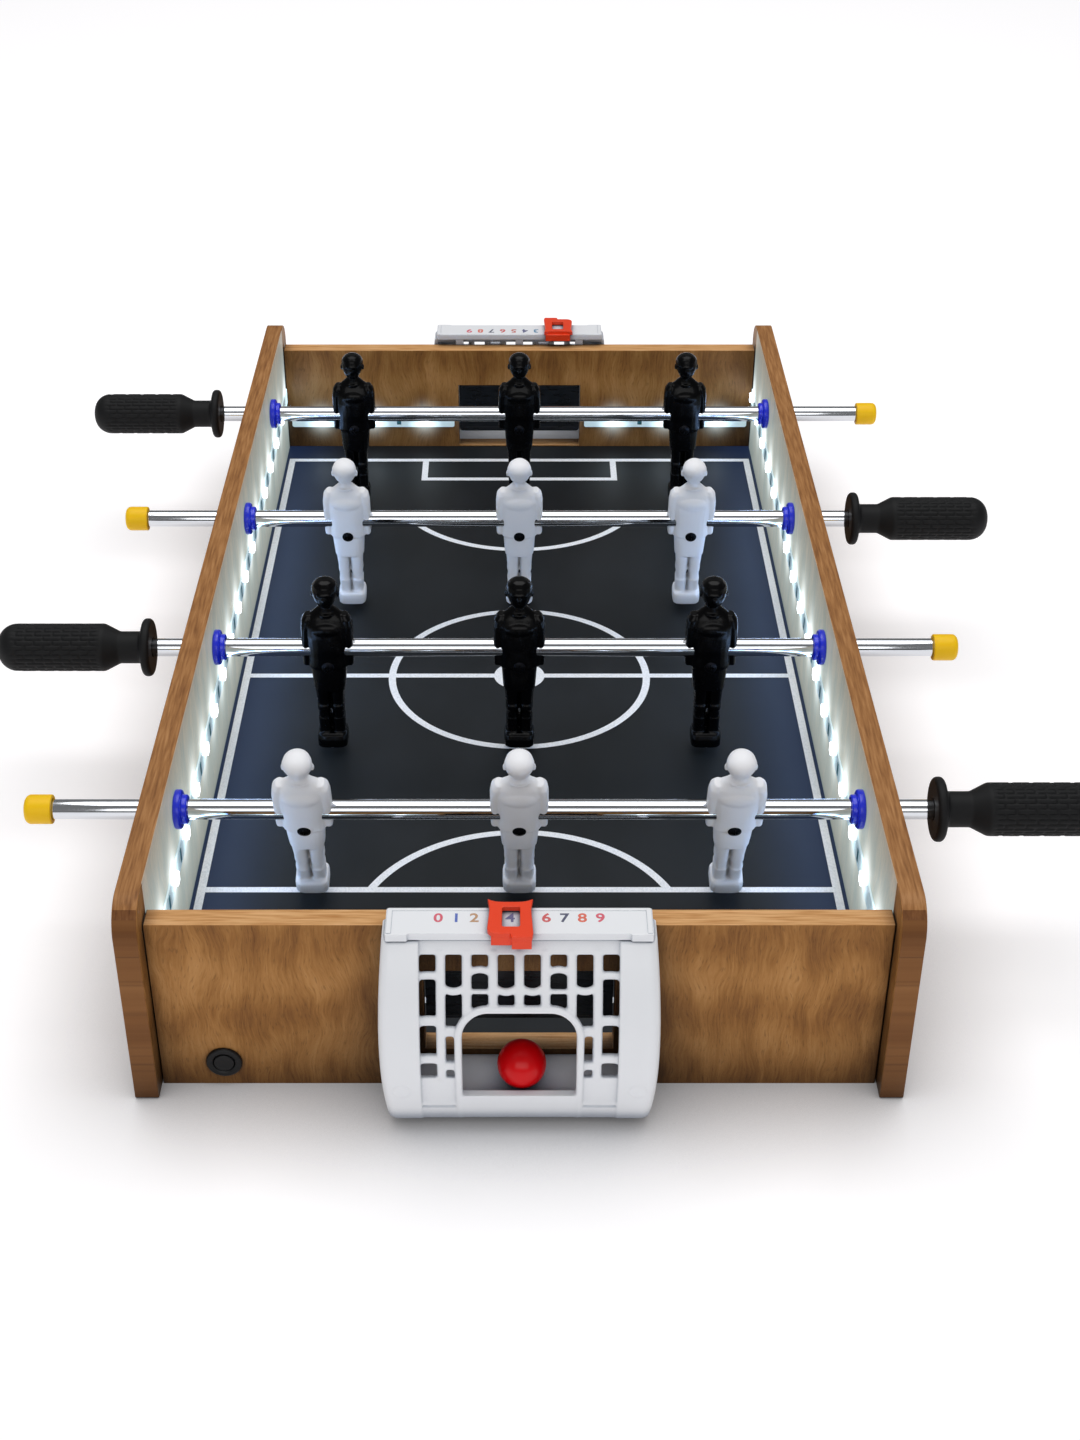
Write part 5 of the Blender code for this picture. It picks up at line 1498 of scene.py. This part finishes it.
RAIL_HALF = 52.5 * MM
RAIL_FRONT = -307 * MM
RAIL_BACK = -290 * MM
RAIL_LOW = 89.3 * MM
RAIL_HIGH = 93 * MM
DIGIT_PITCH = 7.08 * MM
DIGIT_SIZE = 7.4 * MM
rail_outline = rounded(
    [
        (-RAIL_HALF, RAIL_FRONT, 0.8 * MM),
        (-44 * MM, RAIL_FRONT, 0.0),
        (-43.4 * MM, RAIL_FRONT + 0.9 * MM, 0.3 * MM),
        (43.4 * MM, RAIL_FRONT + 0.9 * MM, 0.3 * MM),
        (44 * MM, RAIL_FRONT, 0.0),
        (RAIL_HALF, RAIL_FRONT, 0.8 * MM),
        (RAIL_HALF, RAIL_BACK, 1.2 * MM),
        (-RAIL_HALF, RAIL_BACK, 1.2 * MM),
    ],
    4,
)
rail_parts = [prism("rail", rail_outline, RAIL_LOW, RAIL_HIGH - 0.3 * MM, "Z")]
rim_low = RAIL_HIGH - 0.5 * MM
for side_sign in (-1, 1):
    x_low, x_high = sorted((side_sign * (RAIL_HALF - 0.4 * MM), side_sign * (RAIL_HALF - 2.4 * MM)))
    end_rim = rectangle(x_low, RAIL_FRONT + MM, x_high, RAIL_BACK - 0.6 * MM)
    rail_parts.append(prism("end_rim", end_rim, rim_low, RAIL_HIGH, "Z"))
rail_parts.append(
    prism(
        "back_rim", rectangle(-RAIL_HALF + MM, RAIL_BACK - 2 * MM, RAIL_HALF - MM, RAIL_BACK - 0.6 * MM),
        rim_low, RAIL_HIGH - 0.05 * MM, "Z"
    )
)
for place in (-38, 0, 38):
    foot_outline = rectangle(
        place * MM - 2.5 * MM, RAIL_BACK - 2 * MM, place * MM + 2.5 * MM, RAIL_BACK - 0.3 * MM
    )
    rail_parts.append(prism("foot", foot_outline, END_TOP + 0.3 * MM, RAIL_LOW + 0.2 * MM, "Z"))
rail_mesh = joined("score_rail", rail_parts)

digit_marks = []
for value in range(10):
    lettering = bpy.data.curves.new("digit", "FONT")
    lettering.body = str(value)
    lettering.size = DIGIT_SIZE
    lettering.align_x = "CENTER"
    lettering.align_y = "CENTER"
    lettering.extrude = 0.02 * MM
    lettering.offset = 0.16 * MM
    holder = bpy.data.objects.new("digit", lettering)
    bpy.context.collection.objects.link(holder)
    mark = bpy.data.meshes.new_from_object(holder.evaluated_get(bpy.context.evaluated_depsgraph_get()))
    bpy.data.objects.remove(holder)
    digit_marks.append(moved(mark, ((value - 4.5) * DIGIT_PITCH, -296.6 * MM, RAIL_HIGH - 0.29 * MM)))
digit_mesh = joined("digits", digit_marks)

# Pad printing ink: one flat colour per digit, thin at the edges, drying slightly glossy.
pad_ink, pad_ink_shader = new_material("pad_print_ink", "#d8304a", 0.35)
ink_spot = add(pad_ink, "SeparateXYZ", {0: add(pad_ink, "TexCoord", {}).outputs["Object"]})
ink_share = add(
    pad_ink, "MapRange",
    {"Value": ink_spot.outputs["X"], "From Min": -5 * DIGIT_PITCH, "From Max": 5 * DIGIT_PITCH},
)
DIGIT_COLOURS = (
    "#d9405a", "#2f55b8", "#b98a5a", "#2c7fa8", "#3b3f7a",
    "#c64a39", "#cf3434", "#232a55", "#e0562e", "#d9405a",
)
ink_ramp = add(
    pad_ink, "ValToRGB", {"Fac": ink_share.outputs[0]},
    stops=[(value / 10, colour) for value, colour in enumerate(DIGIT_COLOURS)],
)
ink_ramp.color_ramp.interpolation = "CONSTANT"
ink_wear = add(pad_ink, "TexNoise", {"Scale": 2200.0, "Detail": 2.0})
worn = add(pad_ink, "Mix", {0: 0.18, 6: ink_ramp.outputs[0], 7: linear("#dfe1e6")}, data_type="RGBA")
feed(
    worn,
    {
        0: add(
            pad_ink, "MapRange",
            {"Value": ink_wear.outputs[0], "From Min": 0.45, "From Max": 0.8, "To Max": 0.6}
        ).outputs[0]
    }
)
feed(pad_ink_shader, {"Base Color": worn.outputs[2]})
for end_name, turn in (("near", 0.0), ("far", math.pi)):
    piece = show(
        f"rail_{end_name}", rail_mesh, [polypropylene], "root", [f"score_rail_{end_name}"],
        turn=(0.0, 0.0, turn),
    )
    ease(piece, 0.25 * MM)
    show(f"digits_{end_name}", digit_mesh, [pad_ink], "root", turn=(0.0, 0.0, turn))


# ---- Score sliders --------------------------------------------------------------------
# Orange clips that straddle the rails and slide along them by a tab in front. The score
# shows through a window in the top.

SLIDER_HALF = 9 * MM
SLIDER_FRONT = -307.3 * MM
SLIDER_BACK = -289.7 * MM
SLIDER_WALL = 2 * MM
SLIDER_ROOF = 93.3 * MM
SLIDER_TOP = 95.5 * MM
TAB_REACH = 2.4 * MM
front_face = SLIDER_FRONT - SLIDER_WALL
back_face = SLIDER_BACK + SLIDER_WALL
top_outline = [(-SLIDER_HALF, front_face + 3.5 * MM)]
for angle in between(0, 90, 6):
    turn = math.radians(angle)
    top_outline.append(
        (-SLIDER_HALF + 3.5 * MM * (1 - math.cos(turn)), front_face + 3.5 * MM * (1 - math.sin(turn)))
    )
top_outline += [
    (0.0, front_face), (0.6 * MM, front_face - TAB_REACH), (8.4 * MM, front_face - TAB_REACH),
    (SLIDER_HALF, front_face)
]
top_outline.append((SLIDER_HALF - 0.8 * MM, back_face - 6 * MM))
top_outline.append((SLIDER_HALF, back_face))
for share in between(0.08, 0.92, 10):
    dip = 1.9 * MM * (1 - (2 * share - 1) ** 4)
    top_outline.append((SLIDER_HALF * (1 - 2 * share), back_face - dip))
top_outline.append((-SLIDER_HALF, back_face))
top_outline.append((-SLIDER_HALF + 0.8 * MM, back_face - 6 * MM))
middle = (SLIDER_FRONT + SLIDER_BACK) / 2
window = rounded(
    [
        (-3.2 * MM, middle - 6.4 * MM, 0.8 * MM),
        (3.8 * MM, middle - 6.4 * MM, 0.8 * MM),
        (3.8 * MM, middle + 5.6 * MM, 0.8 * MM),
        (-3.2 * MM, middle + 5.6 * MM, 0.8 * MM),
    ],
    3,
)
slider_top = carve(
    prism("slider_top", list(dict.fromkeys(top_outline)), SLIDER_ROOF, SLIDER_TOP, "Z"),
    prism("window", window, 0.09, 0.1, "Z")
)
slider_parts = [slider_top]
for low, high, reach in (
    (front_face, SLIDER_FRONT, 0.0), (back_face - SLIDER_WALL, back_face - 1.95 * MM + SLIDER_WALL, 0.0)
):
    wall = rectangle(-SLIDER_HALF + 1.5 * MM, low, SLIDER_HALF - 0.9 * MM, high)
    slider_parts.append(prism("wall", wall, RAIL_LOW, SLIDER_ROOF + 0.3 * MM, "Z"))
tab = rectangle(0.6 * MM, front_face - TAB_REACH, 8.4 * MM, front_face + MM)
slider_parts.append(prism("tab", tab, RAIL_LOW, SLIDER_ROOF + 0.3 * MM, "Z"))
slider = joined("score_slider", slider_parts)

# Orange polystyrene: bright, a little translucent at thin edges, glossy with soft ripples.
styrene, styrene_shader = new_material(
    "orange_polystyrene", "#ee3d17", 0.3,
    Subsurface_Weight=0.1, Subsurface_Radius=(0.003, 0.001, 0.0005), Specular_IOR_Level=0.35,
)
styrene_noise = add(styrene, "TexNoise", {"Scale": 320.0, "Detail": 2.0})
feed(styrene_shader, {
    "Base Color": add(
        styrene, "ValToRGB", {"Fac": styrene_noise.outputs[0]}, stops=[(0.3, "#e63a14"), (0.7, "#f4491f")]
    ).outputs[0],
    "Normal": bumped(styrene, styrene_noise.outputs[0], 0.08, 0.0003),
})
for end_name, turn, place in (("near", 0.0, -3.54 * MM), ("far", math.pi, 24.78 * MM)):
    piece = show(
        f"slider_{end_name}", slider, [styrene], f"slider_{end_name}",
        [f"score_slider_{end_name}"],
        (place, 0.0, 0.0), (0.0, 0.0, turn),
    )
    ease(piece, 0.35 * MM, 3)


# ---- Ball -----------------------------------------------------------------------------
# A hard red ball 20 mm across lies in the near catch. A faint line round it shows where
# its two halves were moulded together.

BALL_PLACE = (1 * MM, -309.1 * MM, 27.3 * MM)
BALL_RADIUS = 10 * MM
ball_bm = bmesh.new()
bmesh.ops.create_icosphere(ball_bm, subdivisions=5, radius=BALL_RADIUS)
for vert in ball_bm.verts:
    groove = max(0.0, 1.0 - abs(vert.co.z) / (0.5 * MM))
    vert.co *= 1.0 - 0.006 * groove
# Red polystyrene: deep red, glossy, slightly uneven like an unpolished moulding.
ball_red, ball_shader = new_material("red_polystyrene", "#c8101c", 0.24, Specular_IOR_Level=0.25)
ball_noise = add(ball_red, "TexNoise", {"Scale": 240.0, "Detail": 3.0})
feed(ball_shader, {
    "Base Color": add(
        ball_red, "ValToRGB", {"Fac": ball_noise.outputs[0]}, stops=[(0.3, "#cf0009"), (0.7, "#e2040c")]
    ).outputs[0],
    "Roughness": graded(ball_red, ball_noise.outputs[0], 0.18, 0.34),
    "Normal": bumped(ball_red, ball_noise.outputs[0], 0.05, 0.0003),
})
show(
    "red_ball", finished(ball_bm, "red_ball", 180.0), [ball_red], "ball_body", ["ball"],
    BALL_PLACE,
    (math.radians(35), math.radians(50), 0.0),
)


# ---- Light switch ---------------------------------------------------------------------
# A round push switch in the near end board works the lights. Its bezel snaps into the
# board, and a slightly domed button stands in the middle.

# Black ABS: satin with a fine spark-eroded grain.
black_abs, abs_shader = new_material("black_abs", "#0c0c0e", 0.38, Specular_IOR_Level=0.3)
abs_noise = add(black_abs, "TexNoise", {"Scale": 1900.0, "Detail": 2.0})
feed(abs_shader, {
    "Normal": bumped(black_abs, abs_noise.outputs[0], 0.12, 0.0001),
    "Roughness": graded(black_abs, abs_noise.outputs[0], 0.32, 0.5),
})
bezel_corners = [
    (-8.5 * MM, 4.6 * MM, 0.2 * MM),
    (-8.5 * MM, 5.5 * MM, 0.4 * MM),
    (0.0, 5.5 * MM, 0.0),
    (0.0, 7.5 * MM, 0.3 * MM),
    (1.6 * MM, 7.5 * MM, 1.0 * MM),
    (1.6 * MM, 5.4 * MM, 0.3 * MM),
    (1.1 * MM, 4.6 * MM, 0.3 * MM),
]
bezel = moved(lathe("switch_bezel", rounded(bezel_corners, 5), 64, closed=True), turn=-quarter)
show("switch_bezel", bezel, [black_abs], "root", ["led_switch_body"], SWITCH_SPOT)
button_corners = [
    (-6.5 * MM, 0.0, 0.0),
    (-6.5 * MM, 4.3 * MM, 0.3 * MM),
    (1.5 * MM, 4.3 * MM, 0.6 * MM),
    (1.8 * MM, 2.2 * MM, 3 * MM),
    (1.85 * MM, 0.0, 0.0),
]
button = moved(lathe("switch_cap", rounded(button_corners, 5), 56), turn=-quarter)
show("switch_cap", button, [black_abs], "switch_button", ["led_switch_button"], SWITCH_SPOT)


# ---- Battery box ----------------------------------------------------------------------
# A black box under the field holds two cells for the lights. Its cover slides off
# sideways, and a two-core wire runs from it to the switch.

# Cell jackets: printed foil sleeves with metal ends and a lighter band.
cell_foil, foil_shader = new_material("printed_foil", "#2c4f86", 0.3, Metallic=0.5)
foil_spot = add(cell_foil, "SeparateXYZ", {0: add(cell_foil, "TexCoord", {}).outputs["Generated"]})
foil_ramp = add(
    cell_foil, "ValToRGB", {"Fac": foil_spot.outputs["X"]},
    stops=[(0.0, "#b7bbc1"), (0.06, "#23406f"), (0.7, "#c9a04a"), (0.95, "#b7bbc1")],
)
foil_ramp.color_ramp.interpolation = "CONSTANT"
feed(foil_shader, {"Base Color": foil_ramp.outputs[0]})
# Wire sheath: soft black vinyl with a dull bloom.
sheath, sheath_shader = new_material("vinyl_sheath", "#1b1b1d", 0.55)
sheath_noise = add(sheath, "TexNoise", {"Scale": 800.0, "Detail": 2.0})
feed(sheath_shader, {"Roughness": graded(sheath, sheath_noise.outputs[0], 0.45, 0.7)})
for node_name, material in (
    ("battery_box", black_abs),
    ("battery_cover", black_abs),
    ("battery_cell_1", cell_foil),
    ("battery_cell_2", cell_foil),
    ("led_wire", sheath),
):
    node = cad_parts[node_name]
    node.data.materials.clear()
    node.data.materials.append(material)
    if material is black_abs:
        weld = node.modifiers.new("weld", "WELD")
        weld.merge_threshold = 0.00001
        ease(node, 0.3 * MM)


# ---- Scene update ---------------------------------------------------------------------

bpy.context.view_layer.update()
